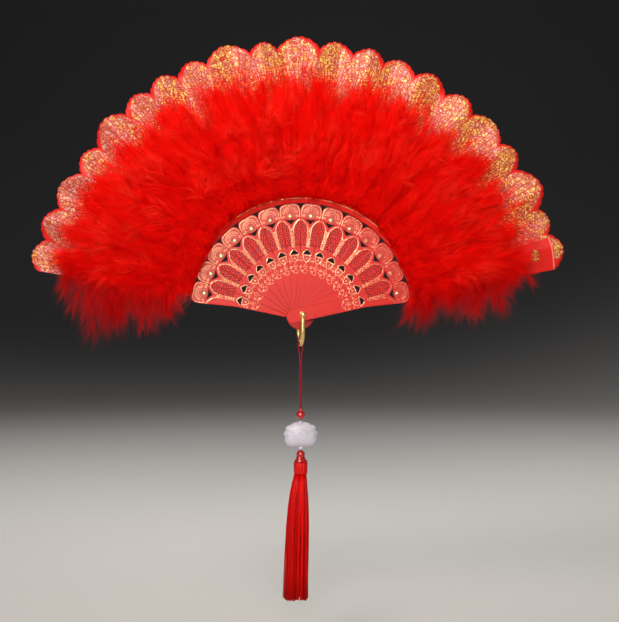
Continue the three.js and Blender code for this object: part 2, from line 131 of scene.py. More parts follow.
# Pin and bail
PIN_RADIUS = 1.5 * MM
PIN_HEAD_RADIUS = 2.3 * MM
PIN_HEAD_HEIGHT = 2.2 * MM
NUT_HEIGHT = 2 * MM
BAIL_WIRE = 2.8 * MM
BAIL_OPENING = 11.2 * MM
LEG_CLEARANCE = 0.25 * MM
LEG_SWELL = 0.25
EYE_RADIUS = 2.7 * MM
KNURL_STEP = 0.9 * MM
KNURL_RADIUS = 0.12 * MM
KNURL_REACH = 0.62 * BAIL_WIRE

# Leaf
LEAF_INNER = 90.3 * MM
LEAF_VALLEY = 215.6 * MM
# The scallops' ends, in degrees above +X; a wide scallop stands taller, by SCALLOP_RISE for each degree
SCALLOPS = np.array([
    9.5, 17.7, 23.4, 33.3, 40.2, 49, 56.2, 64.3, 71.4, 78.5, 85.9,
    95.1, 101.2, 110.9, 117.5, 124.5, 131.2, 140.6, 147.4, 156.2, 163.7, 170.5,
])
SCALLOP_RISE = 1.05 * MM
LEAF_START = SCALLOPS[0]
LEAF_END = SCALLOPS[-1]
LEAF_LOBES = len(SCALLOPS) - 1
LEAF_SOLID = 0.6 * MM
LEAF_CLOTH = 0.3 * MM
PLEAT_TILT = math.tan(math.radians(20))
FOLD_RISE = PLEAT_TILT * math.radians(STICK_STEP / 4)
FOLD_ROUNDING = 0.96
LEAF_STANDOFF = RIB_ROOT_HALF * PLEAT_TILT + GAP + LEAF_SOLID
LEAF_COLUMN = 0.125
LEAF_ROWS = 30
PICOT_DEPTH = 0.9 * MM
PICOTS = 6
# The edge lies a little lower over part of the rear half
EDGE_DIP = 5 * MM
EDGE_DIP_ANGLE = 147
EDGE_DIP_SPREAD = 13
FLAP_RISE = 9 * MM
# The print's own places are in millimetres from the pin, and in lobes from the leaf's front end
LACE_ROOT = 168
FLAP_CREASE = 214.5
FLAP_SHARE = 0.9
SPOT_RADIUS = 199.5
SPOT_PLACE = 0.5
# The gold turns to pink between these angles, by as much on the scale of the attribute "face"
PINK_ANGLES = (100, 150)
PINK_SHIFT = (0, 1.8)
TRIM_PLACE = 94.4 * MM
TRIM_HALF = 0.4 * MM

# Feathers
FLUFF_INNER = 93.5 * MM
FLUFF_LAP = 5.5 * MM
FLUFF_DEPTH = 34 * MM
FLUFF_MARGIN = 5 * MM
# How far the wisps hang past a guard, from the leaf's inner hem out, at even steps
FRONT_HANG = np.array([54, 58, 58, 55, 50, 42]) * MM
REAR_HANG = np.array([42, 60, 68, 70, 58, 28]) * MM
# Where the first and the last wisp leave a guard, from the pin
FRONT_FEET = np.array([91.5, 176.5]) * MM
REAR_FEET = np.array([107, 190.5]) * MM
PLUMES_PER_TUFT = 12
VEIL_PLUMES = 6
HEM_PLUMES = 6
STRAY_WISPS = 6
BARBS_PER_STRAY = 32
PLUMES_PER_END = 44
# Ranges in millimetres: past the inner edge for a tuft's feet, and from the pin for the others
PLUME_FEET = (0, 4)
OVERLAID_FEET = (16, 40)
PLUME_TIPS = (168, 186)
VEIL_FEET = (140, 160)
VEIL_TIPS = (183, 199)
STRAY_FEET = (112, 170)
# How much lighter a tuft's thin outer veil and its stray wisps are: a painted highlight at their tips
VEIL_HIGHLIGHT = 1
STRAY_HIGHLIGHT = 1.7
BARBS_PER_PLUME = 620
BARB_RADIUS = 0.11 * MM
WISP_RADIUS = 0.065 * MM
# The darkest and the lightest tone of the dye; the wisps' darkest is painted shade, and a tone above 1 paints
# a highlight
TUFT_TONES = (0.6, 1)
WISP_TONES = (0.1, 1.2)

# Cord and tassel
CORD_DIAMETER = 1.1 * MM
CORD_PITCH = 2.2 * MM
PLY_SHARE = 0.36
# One strand from the bead up towards the bail's bow, as (x, z); the other strand mirrors it
CORD_STRAND = np.array([
    (0.56, -79.6), (0.56, -72), (0.56, -62), (0.56, -52), (0.56, -44), (0.6, -38), (1, -33),
]) * MM
UPPER_BEAD_RADIUS = 3.7 * MM
THREAD_ABOVE_LOTUS = 2.2 * MM
LOTUS_HEIGHT = 21 * MM
LOTUS_WIDTH = 28.6 * MM
LOTUS_DEPTH = 9 * MM
LOTUS_NUB_DROP = 2 * MM
LOTUS_NUB_RADIUS = 2.6 * MM
LOWER_BEAD_RADIUS = 3.5 * MM
CAP_HEIGHT = 2.3 * MM
BELL_RADIUS = 5.5 * MM
COLLAR_HEIGHT = 9.6 * MM
COLLAR_RADIUS = 5.5 * MM
SKIRT_HEIGHT = 104.5 * MM
SKIRT_TOP_RADIUS = 5.6 * MM
SKIRT_FOOT_RADIUS = 10.4 * MM
SKIRT_LEAN = 3.5 * MM
SKIRT_THREADS = 612
SKIRT_LOCKS = 34
LOCK_SPREAD = 0.65 * MM
GOLDEN_TURN = math.pi * (3 - math.sqrt(5))
THREAD_RADIUS = 0.24 * MM

CORE_BORE = CORD_DIAMETER / 2 + GAP
STRAND_FOOT = CORD_STRAND[0][1]
UPPER_BEAD_Z = STRAND_FOOT - GAP - UPPER_BEAD_RADIUS
LOTUS_TOP = UPPER_BEAD_Z - UPPER_BEAD_RADIUS - THREAD_ABOVE_LOTUS
LOTUS_FOOT = LOTUS_TOP - LOTUS_HEIGHT
NUB_FOOT = LOTUS_FOOT - LOTUS_NUB_DROP
LOWER_BEAD_Z = NUB_FOOT - GAP - LOWER_BEAD_RADIUS
CAP_TOP = LOWER_BEAD_Z - LOWER_BEAD_RADIUS - GAP
COLLAR_TOP = CAP_TOP - CAP_HEIGHT - GAP
SKIRT_TOP = COLLAR_TOP - COLLAR_HEIGHT - GAP

EYE_FRONT = -STACK_DEPTH / 2 - GAP - BAIL_WIRE
EYE_BACK = -EYE_FRONT
LEG_DEPTH = EYE_BACK - BAIL_WIRE / 2 + LEG_CLEARANCE
BOW_Z = -TAIL_REACH - BAIL_OPENING - BAIL_WIRE / 2

BAKE_MAP = "OFBake"
ACROSS_PIN = (0, 1, 0)
UPRIGHT = (0, 0, 1)

draws = np.random.default_rng(14)


# Materials

def linear(code):
    """An sRGB hex colour as linear RGBA."""
    shares = [int(code[place:place + 2], 16) / 255 for place in (1, 3, 5)]
    return (*[s / 12.92 if s <= 0.04045 else ((s + 0.055) / 1.055) ** 2.4 for s in shares], 1.0)


def add_node(tree, kind, inputs=(), **settings):
    """A new node with its settings and its (socket, value) inputs.

    A value that is a socket is linked, and so is the first output of one that is a node.
    """
    made = tree.nodes.new(kind)
    for name, value in settings.items():
        setattr(made, name, value)
    for key, value in inputs:
        if isinstance(value, bpy.types.Node):
            value = value.outputs[0]
        if isinstance(value, bpy.types.NodeSocket):
            tree.links.new(value, made.inputs[key])
        else:
            made.inputs[key].default_value = value
    return made


def new_finish(name, colour, roughness, metallic=0.0):
    """A material with one Principled shader; returns it with its node tree and shader."""
    material = bpy.data.materials.new(name)
    material.use_nodes = True
    shader = material.node_tree.nodes["Principled BSDF"]
    shader.inputs["Base Color"].default_value = linear(colour)
    shader.inputs["Roughness"].default_value = roughness
    shader.inputs["Metallic"].default_value = metallic
    return material, material.node_tree, shader


def per_mm(size):
    """A texture scale whose pattern repeats about every size millimetres, on coordinates in metres."""
    return 1 / (size * MM)


def moulded_red_plastic():
    """Injection-moulded polystyrene: a satin gloss with faint flow marks and a fine grain."""
    material, tree, shader = new_finish("moulded_red_plastic", "#B4221C", 0.34)
    place = add_node(tree, "ShaderNodeTexCoord").outputs["Object"]
    flow = add_node(tree, "ShaderNodeTexNoise", [
        ("Vector", place), ("Scale", per_mm(14)), ("Detail", 4.0),
    ])
    ramp = add_node(tree, "ShaderNodeMix", [
        (0, flow.outputs["Fac"]), (6, linear("#981510")), (7, linear("#AC1B14")),
    ], data_type="RGBA")
    tree.links.new(ramp.outputs[2], shader.inputs["Base Color"])
    grain = add_node(tree, "ShaderNodeTexNoise", [("Vector", place), ("Scale", per_mm(0.7)), ("Detail", 3.0)])
    gloss = add_node(tree, "ShaderNodeMapRange", [
        ("Value", grain.outputs["Fac"]), ("To Min", 0.26), ("To Max", 0.44),
    ])
    tree.links.new(gloss.outputs["Result"], shader.inputs["Roughness"])
    bump = add_node(tree, "ShaderNodeBump", [
        ("Height", grain.outputs["Fac"]), ("Strength", 0.12), ("Distance", 0.1 * MM),
    ])
    tree.links.new(bump.outputs["Normal"], shader.inputs["Normal"])
    shader.inputs["Specular IOR Level"].default_value = 0.22
    return material


def handled_side(tree, place):
    """How much more the foil is rubbed on the sticks by the front guard, where the fan is held."""
    aside = add_node(tree, "ShaderNodeSeparateXYZ", [(0, place)]).outputs[0]
    return add_node(tree, "ShaderNodeMapRange", [
        ("Value", aside), ("From Min", 20 * MM), ("From Max", 80 * MM), ("To Max", 0.17),
    ]).outputs["Result"]


def hot_foil_gold():
    """Hot-stamped gold foil on raised plastic: thin metal that is rubbed through to the red in places."""
    material, tree, shader = new_finish("hot_foil_gold", "#F0C88A", 0.3, 1.0)
    place = add_node(tree, "ShaderNodeTexCoord").outputs["Object"]
    rub = add_node(tree, "ShaderNodeTexNoise", [("Vector", place), ("Scale", per_mm(1.5)), ("Detail", 5.0)])
    rubbed = add_node(tree, "ShaderNodeMath", [
        (0, rub.outputs["Fac"]), (1, handled_side(tree, place)),
    ], operation="ADD")
    worn = add_node(tree, "ShaderNodeMapRange", [("Value", rubbed), ("From Min", 0.5), ("From Max", 0.64)])
    tint = add_node(tree, "ShaderNodeMix", [
        (0, worn.outputs["Result"]), (6, linear("#DEB088")), (7, linear("#AE4434")),
    ], data_type="RGBA")
    tree.links.new(tint.outputs[2], shader.inputs["Base Color"])
    metal = add_node(tree, "ShaderNodeMapRange", [
        ("Value", worn.outputs["Result"]), ("To Min", 0.9), ("To Max", 0.15),
    ])
    tree.links.new(metal.outputs["Result"], shader.inputs["Metallic"])
    shader.inputs["Specular IOR Level"].default_value = 0.3
    return material


def rubbed_foil():
    """Foil that missed most of a flat field: red plastic under a thin pink-gold bloom."""
    material, tree, shader = new_finish("rubbed_pink_foil", "#A84A42", 0.4, 0.08)
    place = add_node(tree, "ShaderNodeTexCoord").outputs["Object"]
    bloom = add_node(tree, "ShaderNodeTexNoise", [("Vector", place), ("Scale", per_mm(1.6)), ("Detail", 5.0)])
    kept = add_node(tree, "ShaderNodeMath", [
        (0, bloom.outputs["Fac"]), (1, handled_side(tree, place)),
    ], operation="SUBTRACT")
    left = add_node(tree, "ShaderNodeMapRange", [("Value", kept), ("From Min", 0.3), ("From Max", 0.7)])
    colour = add_node(tree, "ShaderNodeMix", [
        (0, left.outputs["Result"]), (6, linear("#981610")), (7, linear("#943E34")),
    ], data_type="RGBA")
    tree.links.new(colour.outputs[2], shader.inputs["Base Color"])
    shader.inputs["Specular IOR Level"].default_value = 0.22
    return material


def polished_gilt():
    """Gilt brass wire, polished: a bright yellow mirror with faint draw marks."""
    material, tree, shader = new_finish("polished_gilt_brass", "#FAD48A", 0.28, 1.0)
    place = add_node(tree, "ShaderNodeTexCoord").outputs["Object"]
    marks = add_node(tree, "ShaderNodeTexNoise", [("Vector", place), ("Scale", per_mm(1.5)), ("Detail", 5.0)])
    gloss = add_node(tree, "ShaderNodeMapRange", [
        ("Value", marks.outputs["Fac"]), ("To Min", 0.22), ("To Max", 0.38),
    ])
    tree.links.new(gloss.outputs["Result"], shader.inputs["Roughness"])
    return material


def satin_colour(tree, place):
    """Red satin's colour: a soft mottle from the way its long floats lie."""
    mottle = add_node(tree, "ShaderNodeTexNoise", [("Vector", place), ("Scale", per_mm(9)), ("Detail", 3.0)])
    return add_node(tree, "ShaderNodeMix", [
        (0, mottle.outputs["Fac"]), (6, linear("#9E0C08")), (7, linear("#BE1C14")),
    ], data_type="RGBA").outputs[2]


def satin_bump(tree, place):
    """Satin's fine rib, drawn at 0.9 mm, coarser than the real thread, so that it shows."""
    rib = add_node(tree, "ShaderNodeTexWave", [
        ("Vector", place), ("Scale", per_mm(0.9) / 6), ("Distortion", 2.0),
    ], bands_direction="DIAGONAL")
    return add_node(tree, "ShaderNodeBump", [
        ("Height", rib.outputs["Fac"]), ("Strength", 0.15), ("Distance", 0.1 * MM),
    ]).outputs["Normal"]


def plain_satin():
    """Polyester satin, dyed red: a soft sheen along its folds."""
    material, tree, shader = new_finish("red_satin", "#D8281E", 0.42)
    place = add_node(tree, "ShaderNodeTexCoord").outputs["Object"]
    tree.links.new(satin_colour(tree, place), shader.inputs["Base Color"])
    tree.links.new(satin_bump(tree, place), shader.inputs["Normal"])
    shader.inputs["Specular IOR Level"].default_value = 0.2
    return material


def lace_lines(tree, across, up, flat):
    """The distance in millimetres to the lace's nearest cut line.

    Ribs spread up each lobe, scalloped rows cross them, and curls of close rings stand among them.
    """
    rib_turn, shell_turn = math.radians(2.2), math.radians(6.6)
    shell_rise, row_step, curl_size, ring_step = 30.0, 2.7, 7.0, 0.85
    across_squared = add_node(tree, "ShaderNodeMath", [(0, across), (1, 2.0)], operation="POWER")
    up_squared = add_node(tree, "ShaderNodeMath", [(0, up), (1, 2.0)], operation="POWER")
    squares = add_node(tree, "ShaderNodeMath", [(0, across_squared), (1, up_squared)], operation="ADD")
    reach = add_node(tree, "ShaderNodeMath", [(0, squares), (1, 0.5)], operation="POWER")
    lean = add_node(tree, "ShaderNodeMath", [(0, across), (1, up)], operation="ARCTAN2")
    turn = add_node(tree, "ShaderNodeMath", [(0, lean), (1, math.pi)], operation="ADD")
    rib_lean = add_node(tree, "ShaderNodeMath", [(0, turn), (1, rib_turn)], operation="PINGPONG")
    rib = add_node(tree, "ShaderNodeMath", [(0, rib_lean), (1, reach)], operation="MULTIPLY")
    shell_lean = add_node(tree, "ShaderNodeMath", [(0, turn), (1, shell_turn)], operation="PINGPONG")
    shell = add_node(tree, "ShaderNodeMath", [(0, shell_lean), (1, shell_rise)], operation="MULTIPLY")
    scalloped = add_node(tree, "ShaderNodeMath", [(0, reach), (1, shell)], operation="ADD")
    row = add_node(tree, "ShaderNodeMath", [(0, scalloped), (1, row_step)], operation="PINGPONG")
    ribs = add_node(tree, "ShaderNodeMath", [(0, rib), (1, row)], operation="MINIMUM")
    sway = add_node(tree, "ShaderNodeTexNoise", [("Vector", flat), ("Scale", 1 / 4.0), ("Detail", 1.0)])
    swayed = add_node(tree, "ShaderNodeVectorMath", [
        (0, sway.outputs["Color"]), (1, (3.5, 3.5, 0.0)), (2, flat),
    ], operation="MULTIPLY_ADD")
    cells = add_node(tree, "ShaderNodeTexVoronoi", [
        ("Vector", swayed), ("Scale", 1 / curl_size), ("Randomness", 0.9),
    ])
    from_eye = add_node(tree, "ShaderNodeMath", [
        (0, cells.outputs["Distance"]), (1, curl_size),
    ], operation="MULTIPLY")
    ring = add_node(tree, "ShaderNodeMath", [(0, from_eye), (1, ring_step)], operation="PINGPONG")
    chance = add_node(tree, "ShaderNodeSeparateColor", [(0, cells.outputs["Color"])])
    curled = add_node(tree, "ShaderNodeMath", [(0, chance), (1, 0.62)], operation="GREATER_THAN")
    return add_node(tree, "ShaderNodeMix", [(0, curled), (2, ribs), (3, ring)])


def printed_area(tree, place, share, radius, from_edge):
    """1 where the satin is printed: clear of the folded flap, and inside a scallop that misses its cut lobe.

    The red left by a miss is wider on the side towards the leaf's nearer end.
    """
    # In millimetres: a notch between two lobes, a miss all along a lobe, and a miss at a lobe's end side
    notch_size, miss_size, least_slope, more_slope = 4.0, 1.2, 2.0, 10.0
    # The spot on the flap is an oval: how much a lobe's width counts beside a height, and its size, squared
    spot_width, spot_size = 360.0, 11.5
    lobe = add_node(tree, "ShaderNodeMath", [(0, place)], operation="FLOOR")
    miss = add_node(tree, "ShaderNodeTexWhiteNoise", [("W", lobe)], noise_dimensions="1D").outputs["Value"]
    past_middle = add_node(tree, "ShaderNodeMath", [
        (0, lobe), (1, LEAF_LOBES / 2 - 0.4),
    ], operation="SUBTRACT")
    end_side = add_node(tree, "ShaderNodeMath", [(0, past_middle)], operation="SIGN")
    towards_end = add_node(tree, "ShaderNodeMath", [(0, share), (1, end_side)], operation="MULTIPLY")
    end_half = add_node(tree, "ShaderNodeMath", [(0, towards_end), (1, 0.0)], operation="MAXIMUM")
    slope = add_node(tree, "ShaderNodeMath", [
        (0, miss), (1, more_slope), (2, least_slope),
    ], operation="MULTIPLY_ADD")
    lean = add_node(tree, "ShaderNodeMath", [(0, end_half), (1, slope)], operation="MULTIPLY")
    aside = add_node(tree, "ShaderNodeMath", [(0, share)], operation="ABSOLUTE")
    from_middle = add_node(tree, "ShaderNodeMath", [(0, aside), (1, 2.0)], operation="MULTIPLY")
    notch = add_node(tree, "ShaderNodeMath", [(0, from_middle), (1, 4.0)], operation="POWER")
    notch_depth = add_node(tree, "ShaderNodeMath", [(0, notch), (1, notch_size)], operation="MULTIPLY")
    all_along = add_node(tree, "ShaderNodeMath", [(0, miss), (1, miss_size)], operation="MULTIPLY")
    missed = add_node(tree, "ShaderNodeMath", [(0, lean), (1, all_along)], operation="ADD")
    margin = add_node(tree, "ShaderNodeMath", [(0, notch_depth), (1, missed)], operation="ADD")
    inside = add_node(tree, "ShaderNodeMath", [(0, from_edge), (1, margin)], operation="GREATER_THAN")
    begun = add_node(tree, "ShaderNodeMath", [(0, radius), (1, LACE_ROOT)], operation="GREATER_THAN")

    beyond = add_node(tree, "ShaderNodeMath", [(0, radius), (1, FLAP_CREASE + 1)], operation="GREATER_THAN")
    off_corner = add_node(tree, "ShaderNodeMath", [(0, place), (1, 0.3)], operation="GREATER_THAN")
    past_crease = add_node(tree, "ShaderNodeMath", [(0, beyond), (1, off_corner)], operation="MULTIPLY")
    squares = []
    for value, centre in ((radius, SPOT_RADIUS), (place, SPOT_PLACE)):
        offset = add_node(tree, "ShaderNodeMath", [(0, value), (1, centre)], operation="SUBTRACT")
        size = add_node(tree, "ShaderNodeMath", [(0, offset)], operation="ABSOLUTE")
        squares.append(add_node(tree, "ShaderNodeMath", [(0, size), (1, 2.0)], operation="POWER"))
    out, off = squares
    oval = add_node(tree, "ShaderNodeMath", [(0, off), (1, spot_width), (2, out)], operation="MULTIPLY_ADD")
    spot = add_node(tree, "ShaderNodeMath", [(0, oval), (1, spot_size)], operation="LESS_THAN")
    past_flap = add_node(tree, "ShaderNodeMath", [(0, place), (1, FLAP_SHARE)], operation="GREATER_THAN")
    on_flap = add_node(tree, "ShaderNodeMath", [(0, past_crease), (1, spot)], operation="ADD")
    clear = add_node(tree, "ShaderNodeMath", [
        (0, past_flap), (1, on_flap),
    ], operation="ADD", use_clamp=True)
    lobed = add_node(tree, "ShaderNodeMath", [(0, inside), (1, begun)], operation="MULTIPLY")
    return add_node(tree, "ShaderNodeMath", [(0, lobed), (1, clear)], operation="MULTIPLY")


def printed_satin():
    """Red satin with foil lace along its scalloped edge: gold on the faces at the sticks, pink between, a
    painted reflection of the pleats' facets.

    The attribute "lace" holds the place in lobes, and the distances from the pin and from the edge in mm.
    The attribute "face" is 1 at a stick and -1 half way to the next, and lower towards the rear guard; it
    drives the painted reflection.
    """
    material, tree, shader = new_finish("foil_printed_satin", "#D8281E", 0.46)
    face = add_node(tree, "ShaderNodeAttribute", attribute_name="face").outputs["Fac"]
    coords = add_node(tree, "ShaderNodeTexCoord").outputs["Object"]
    lace = add_node(tree, "ShaderNodeAttribute", attribute_name="lace").outputs["Vector"]
    parts = add_node(tree, "ShaderNodeSeparateXYZ", [(0, lace)])
    place, radius = parts.outputs[0], parts.outputs[1]
    in_lobe = add_node(tree, "ShaderNodeMath", [(0, place)], operation="FRACT")
    share = add_node(tree, "ShaderNodeMath", [(0, in_lobe), (1, 0.5)], operation="SUBTRACT")
    lobe_turn = math.radians((LEAF_END - LEAF_START) / LEAF_LOBES)
    lobe_width = add_node(tree, "ShaderNodeMath", [(0, radius), (1, lobe_turn)], operation="MULTIPLY")
    across = add_node(tree, "ShaderNodeMath", [(0, share), (1, lobe_width)], operation="MULTIPLY")
    up = add_node(tree, "ShaderNodeMath", [(0, radius), (1, LACE_ROOT - 4)], operation="SUBTRACT")
    lobe = add_node(tree, "ShaderNodeMath", [(0, place)], operation="FLOOR")
    lobe_apart = add_node(tree, "ShaderNodeMath", [(0, lobe), (1, 31.0)], operation="MULTIPLY")
    flat = add_node(tree, "ShaderNodeCombineXYZ", [(0, across), (1, up), (2, lobe_apart)])

    eyelets = add_node(tree, "ShaderNodeTexVoronoi", [
        ("Vector", flat), ("Scale", 1 / 3.1), ("Randomness", 0.8),
    ])
    line = add_node(tree, "ShaderNodeMapRange", [
        ("Value", lace_lines(tree, across, up, flat)), ("From Min", 0.14), ("From Max", 0.5),
    ]).outputs["Result"]
    eye = add_node(tree, "ShaderNodeMapRange", [
        ("Value", eyelets.outputs["Distance"]), ("From Min", 0.16), ("From Max", 0.28),
    ]).outputs["Result"]
    drawn = add_node(tree, "ShaderNodeMath", [(0, line), (1, eye)], operation="MULTIPLY")
    printed = printed_area(tree, place, share, radius, parts.outputs[2])

    patches = add_node(tree, "ShaderNodeTexNoise", [
        ("Vector", coords), ("Scale", per_mm(4.6)), ("Detail", 4.0),
    ])
    # Painted reflection: the pleats' facets at the sticks are painted more gold and those between more pink,
    # over random patches
    facet_reflection = add_node(tree, "ShaderNodeMath", [(0, face), (1, 0.06)], operation="MULTIPLY")
    golden = add_node(tree, "ShaderNodeMath", [(0, patches.outputs["Fac"]), (1, facet_reflection)], operation="ADD")
    warmth = add_node(tree, "ShaderNodeMapRange", [
        ("Value", golden), ("From Min", 0.43), ("From Max", 0.57),
    ]).outputs["Result"]
    tint = add_node(tree, "ShaderNodeMix", [
        (0, warmth), (6, linear("#A05246")), (7, linear("#B07C38")),
    ], data_type="RGBA").outputs[2]
    # The foil's flakes are painted paler or darker at random: a painted glint on some and painted shade on
    # others
    glint_tint = add_node(tree, "ShaderNodeMix", [
        (0, warmth), (6, linear("#A47C7C")), (7, linear("#D4B266")),
    ], data_type="RGBA").outputs[2]
    flakes = add_node(tree, "ShaderNodeTexVoronoi", [("Vector", flat), ("Scale", 1 / 1.1)]).outputs["Color"]
    glint = add_node(tree, "ShaderNodeSeparateColor", [(0, flakes)])
    glinting_flake = add_node(tree, "ShaderNodeMath", [(0, glint.outputs[0]), (1, 0.72)], operation="GREATER_THAN")
    pale = add_node(tree, "ShaderNodeMix", [
        (0, glinting_flake), (6, tint), (7, glint_tint),
    ], data_type="RGBA").outputs[2]
    shaded_flake = add_node(tree, "ShaderNodeMath", [(0, glint.outputs[1]), (1, 0.8)], operation="GREATER_THAN")
    glinted_foil = add_node(tree, "ShaderNodeMix", [
        (0, shaded_flake), (6, pale), (7, linear("#8E3C20")),
    ], data_type="RGBA").outputs[2]
    # The cut lines and eyelets show the satin, painted a darker red-brown than it: painted shade in the
    # print's gaps
    foil = add_node(tree, "ShaderNodeMix", [
        (0, drawn), (6, linear("#8E2412")), (7, glinted_foil),
    ], data_type="RGBA").outputs[2]
    # A pale line painted along the flap's crease: a painted highlight on the fold
    flap = add_node(tree, "ShaderNodeMath", [(0, place), (1, FLAP_SHARE)], operation="LESS_THAN")
    near_crease = add_node(tree, "ShaderNodeMath", [
        (0, radius), (1, FLAP_CREASE), (2, 0.5),
    ], operation="COMPARE")
    crease_highlight = add_node(tree, "ShaderNodeMath", [(0, flap), (1, near_crease)], operation="MULTIPLY")
    satin = add_node(tree, "ShaderNodeMix", [
        (0, crease_highlight), (6, satin_colour(tree, coords)), (7, linear("#C46A5E")),
    ], data_type="RGBA").outputs[2]
    colour = add_node(tree, "ShaderNodeMix", [
        (0, printed), (6, satin), (7, foil),
    ], data_type="RGBA").outputs[2]
    tree.links.new(colour, shader.inputs["Base Color"])
    foiled = add_node(tree, "ShaderNodeMath", [(0, printed), (1, drawn)], operation="MULTIPLY")
    metal = add_node(tree, "ShaderNodeMath", [(0, foiled), (1, 0.15)], operation="MULTIPLY")
    tree.links.new(metal.outputs[0], shader.inputs["Metallic"])
    tree.links.new(satin_bump(tree, coords), shader.inputs["Normal"])
    shader.inputs["Specular IOR Level"].default_value = 0.2
    return material


def gold_thread():
    """Metallised thread, laid as a fine trim: gold with red gaps where it dips under its stitches."""
    material, tree, shader = new_finish("gold_trim_thread", "#F2BC66", 0.3, 0.9)
    place = add_node(tree, "ShaderNodeTexCoord").outputs["Object"]
    stitches = add_node(tree, "ShaderNodeTexNoise", [
        ("Vector", place), ("Scale", per_mm(3.2)), ("Detail", 3.0),
    ])
    dips = add_node(tree, "ShaderNodeMapRange", [
        ("Value", stitches.outputs["Fac"]), ("From Min", 0.5), ("From Max", 0.62),
    ])
    colour = add_node(tree, "ShaderNodeMix", [
        (0, dips.outputs["Result"]), (6, linear("#F4C478")), (7, linear("#D8502C")),
    ], data_type="RGBA")
    tree.links.new(colour.outputs[2], shader.inputs["Base Color"])
    return material


def dyed_down():
    """Marabou down, dyed scarlet: fine translucent barbs, painted deeper at the quill and lighter at the tip,
    as painted shade and painted light.

    The bake map holds each barb's own tone across and the share of its length up. A tone above 1 paints
    the tip paler than the dye, a painted highlight.
    """
    material, tree, shader = new_finish("dyed_marabou_down", "#E80A04", 0.62)
    baked = add_node(tree, "ShaderNodeUVMap", uv_map=BAKE_MAP)
    parts = add_node(tree, "ShaderNodeSeparateXYZ", [(0, baked)])
    own_tone, height = parts.outputs[0], parts.outputs[1]
    tone = add_node(tree, "ShaderNodeMix", [
        (0, own_tone), (6, linear("#840003")), (7, linear("#FF0402")),
    ], data_type="RGBA").outputs[2]
    # Barbs painted lighter towards their tips and deeper at their feet: painted light and painted shade
    lit_tip = add_node(tree, "ShaderNodeMath", [(0, own_tone), (1, height)], operation="MULTIPLY")
    lit = add_node(tree, "ShaderNodeMix", [
        (0, lit_tip), (6, tone), (7, linear("#FF1408")),
    ], data_type="RGBA").outputs[2]
    # A tone above 1 paints the tip paler still: a painted highlight
    pale = add_node(tree, "ShaderNodeMath", [
        (0, own_tone), (1, 1.0),
    ], operation="SUBTRACT", use_clamp=True)
    painted_highlight_tip = add_node(tree, "ShaderNodeMath", [(0, pale), (1, height)], operation="MULTIPLY")
    colour = add_node(tree, "ShaderNodeMix", [
        (0, painted_highlight_tip), (6, lit), (7, linear("#FF6248")),
    ], data_type="RGBA").outputs[2]
    tree.links.new(colour, shader.inputs["Base Color"])
    shader.inputs["Specular IOR Level"].default_value = 0.02
    through = add_node(tree, "ShaderNodeBsdfTranslucent", [("Color", colour)])
    mixed = add_node(tree, "ShaderNodeMixShader", [
        (0, 0.08), (1, shader.outputs[0]), (2, through.outputs[0]),
    ])
    tree.links.new(mixed.outputs[0], tree.nodes["Material Output"].inputs["Surface"])
    return material


def rayon(name, dark, light):
    """Rayon thread: a silky gloss that changes from strand to strand."""
    material, tree, shader = new_finish(name, light, 0.36)
    baked = add_node(tree, "ShaderNodeUVMap", uv_map=BAKE_MAP)
    own_tone = add_node(tree, "ShaderNodeSeparateXYZ", [(0, baked)])
    colour = add_node(tree, "ShaderNodeMix", [
        (0, own_tone), (6, linear(dark)), (7, linear(light)),
    ], data_type="RGBA")
    tree.links.new(colour.outputs[2], shader.inputs["Base Color"])
    shader.inputs["Specular IOR Level"].default_value = 0.12
    return material


def wrapped_thread(name, dark, light):
    """Rayon thread gathered or twisted on itself: fine upright fibres and a silky gloss."""
    material, tree, shader = new_finish(name, light, 0.4)
    place = add_node(tree, "ShaderNodeTexCoord").outputs["Object"]
    upright = add_node(tree, "ShaderNodeVectorMath", [
        (0, place), (1, (1.0, 1.0, 0.08)),
    ], operation="MULTIPLY")
    fibre = add_node(tree, "ShaderNodeTexNoise", [
        ("Vector", upright.outputs[0]), ("Scale", per_mm(0.9)), ("Detail", 4.0),
    ])
    colour = add_node(tree, "ShaderNodeMix", [
        (0, fibre.outputs["Fac"]), (6, linear(dark)), (7, linear(light)),
    ], data_type="RGBA")
    tree.links.new(colour.outputs[2], shader.inputs["Base Color"])
    bump = add_node(tree, "ShaderNodeBump", [
        ("Height", fibre.outputs["Fac"]), ("Strength", 0.25), ("Distance", 0.1 * MM),
    ])
    tree.links.new(bump.outputs["Normal"], shader.inputs["Normal"])
    shader.inputs["Specular IOR Level"].default_value = 0.15
    return material


def glossy_acrylic():
    """Cast acrylic bead: deep red, very glossy, with faint clouding."""
    material, tree, shader = new_finish("red_acrylic_bead", "#B00010", 0.09)
    place = add_node(tree, "ShaderNodeTexCoord").outputs["Object"]
    cloud = add_node(tree, "ShaderNodeTexNoise", [("Vector", place), ("Scale", per_mm(3)), ("Detail", 2.0)])
    colour = add_node(tree, "ShaderNodeMix", [
        (0, cloud.outputs["Fac"]), (6, linear("#74000A")), (7, linear("#A6040E")),
    ], data_type="RGBA")
    tree.links.new(colour.outputs[2], shader.inputs["Base Color"])
    shader.inputs["Coat Weight"].default_value = 0.6
    shader.inputs["Coat Roughness"].default_value = 0.04
    return material


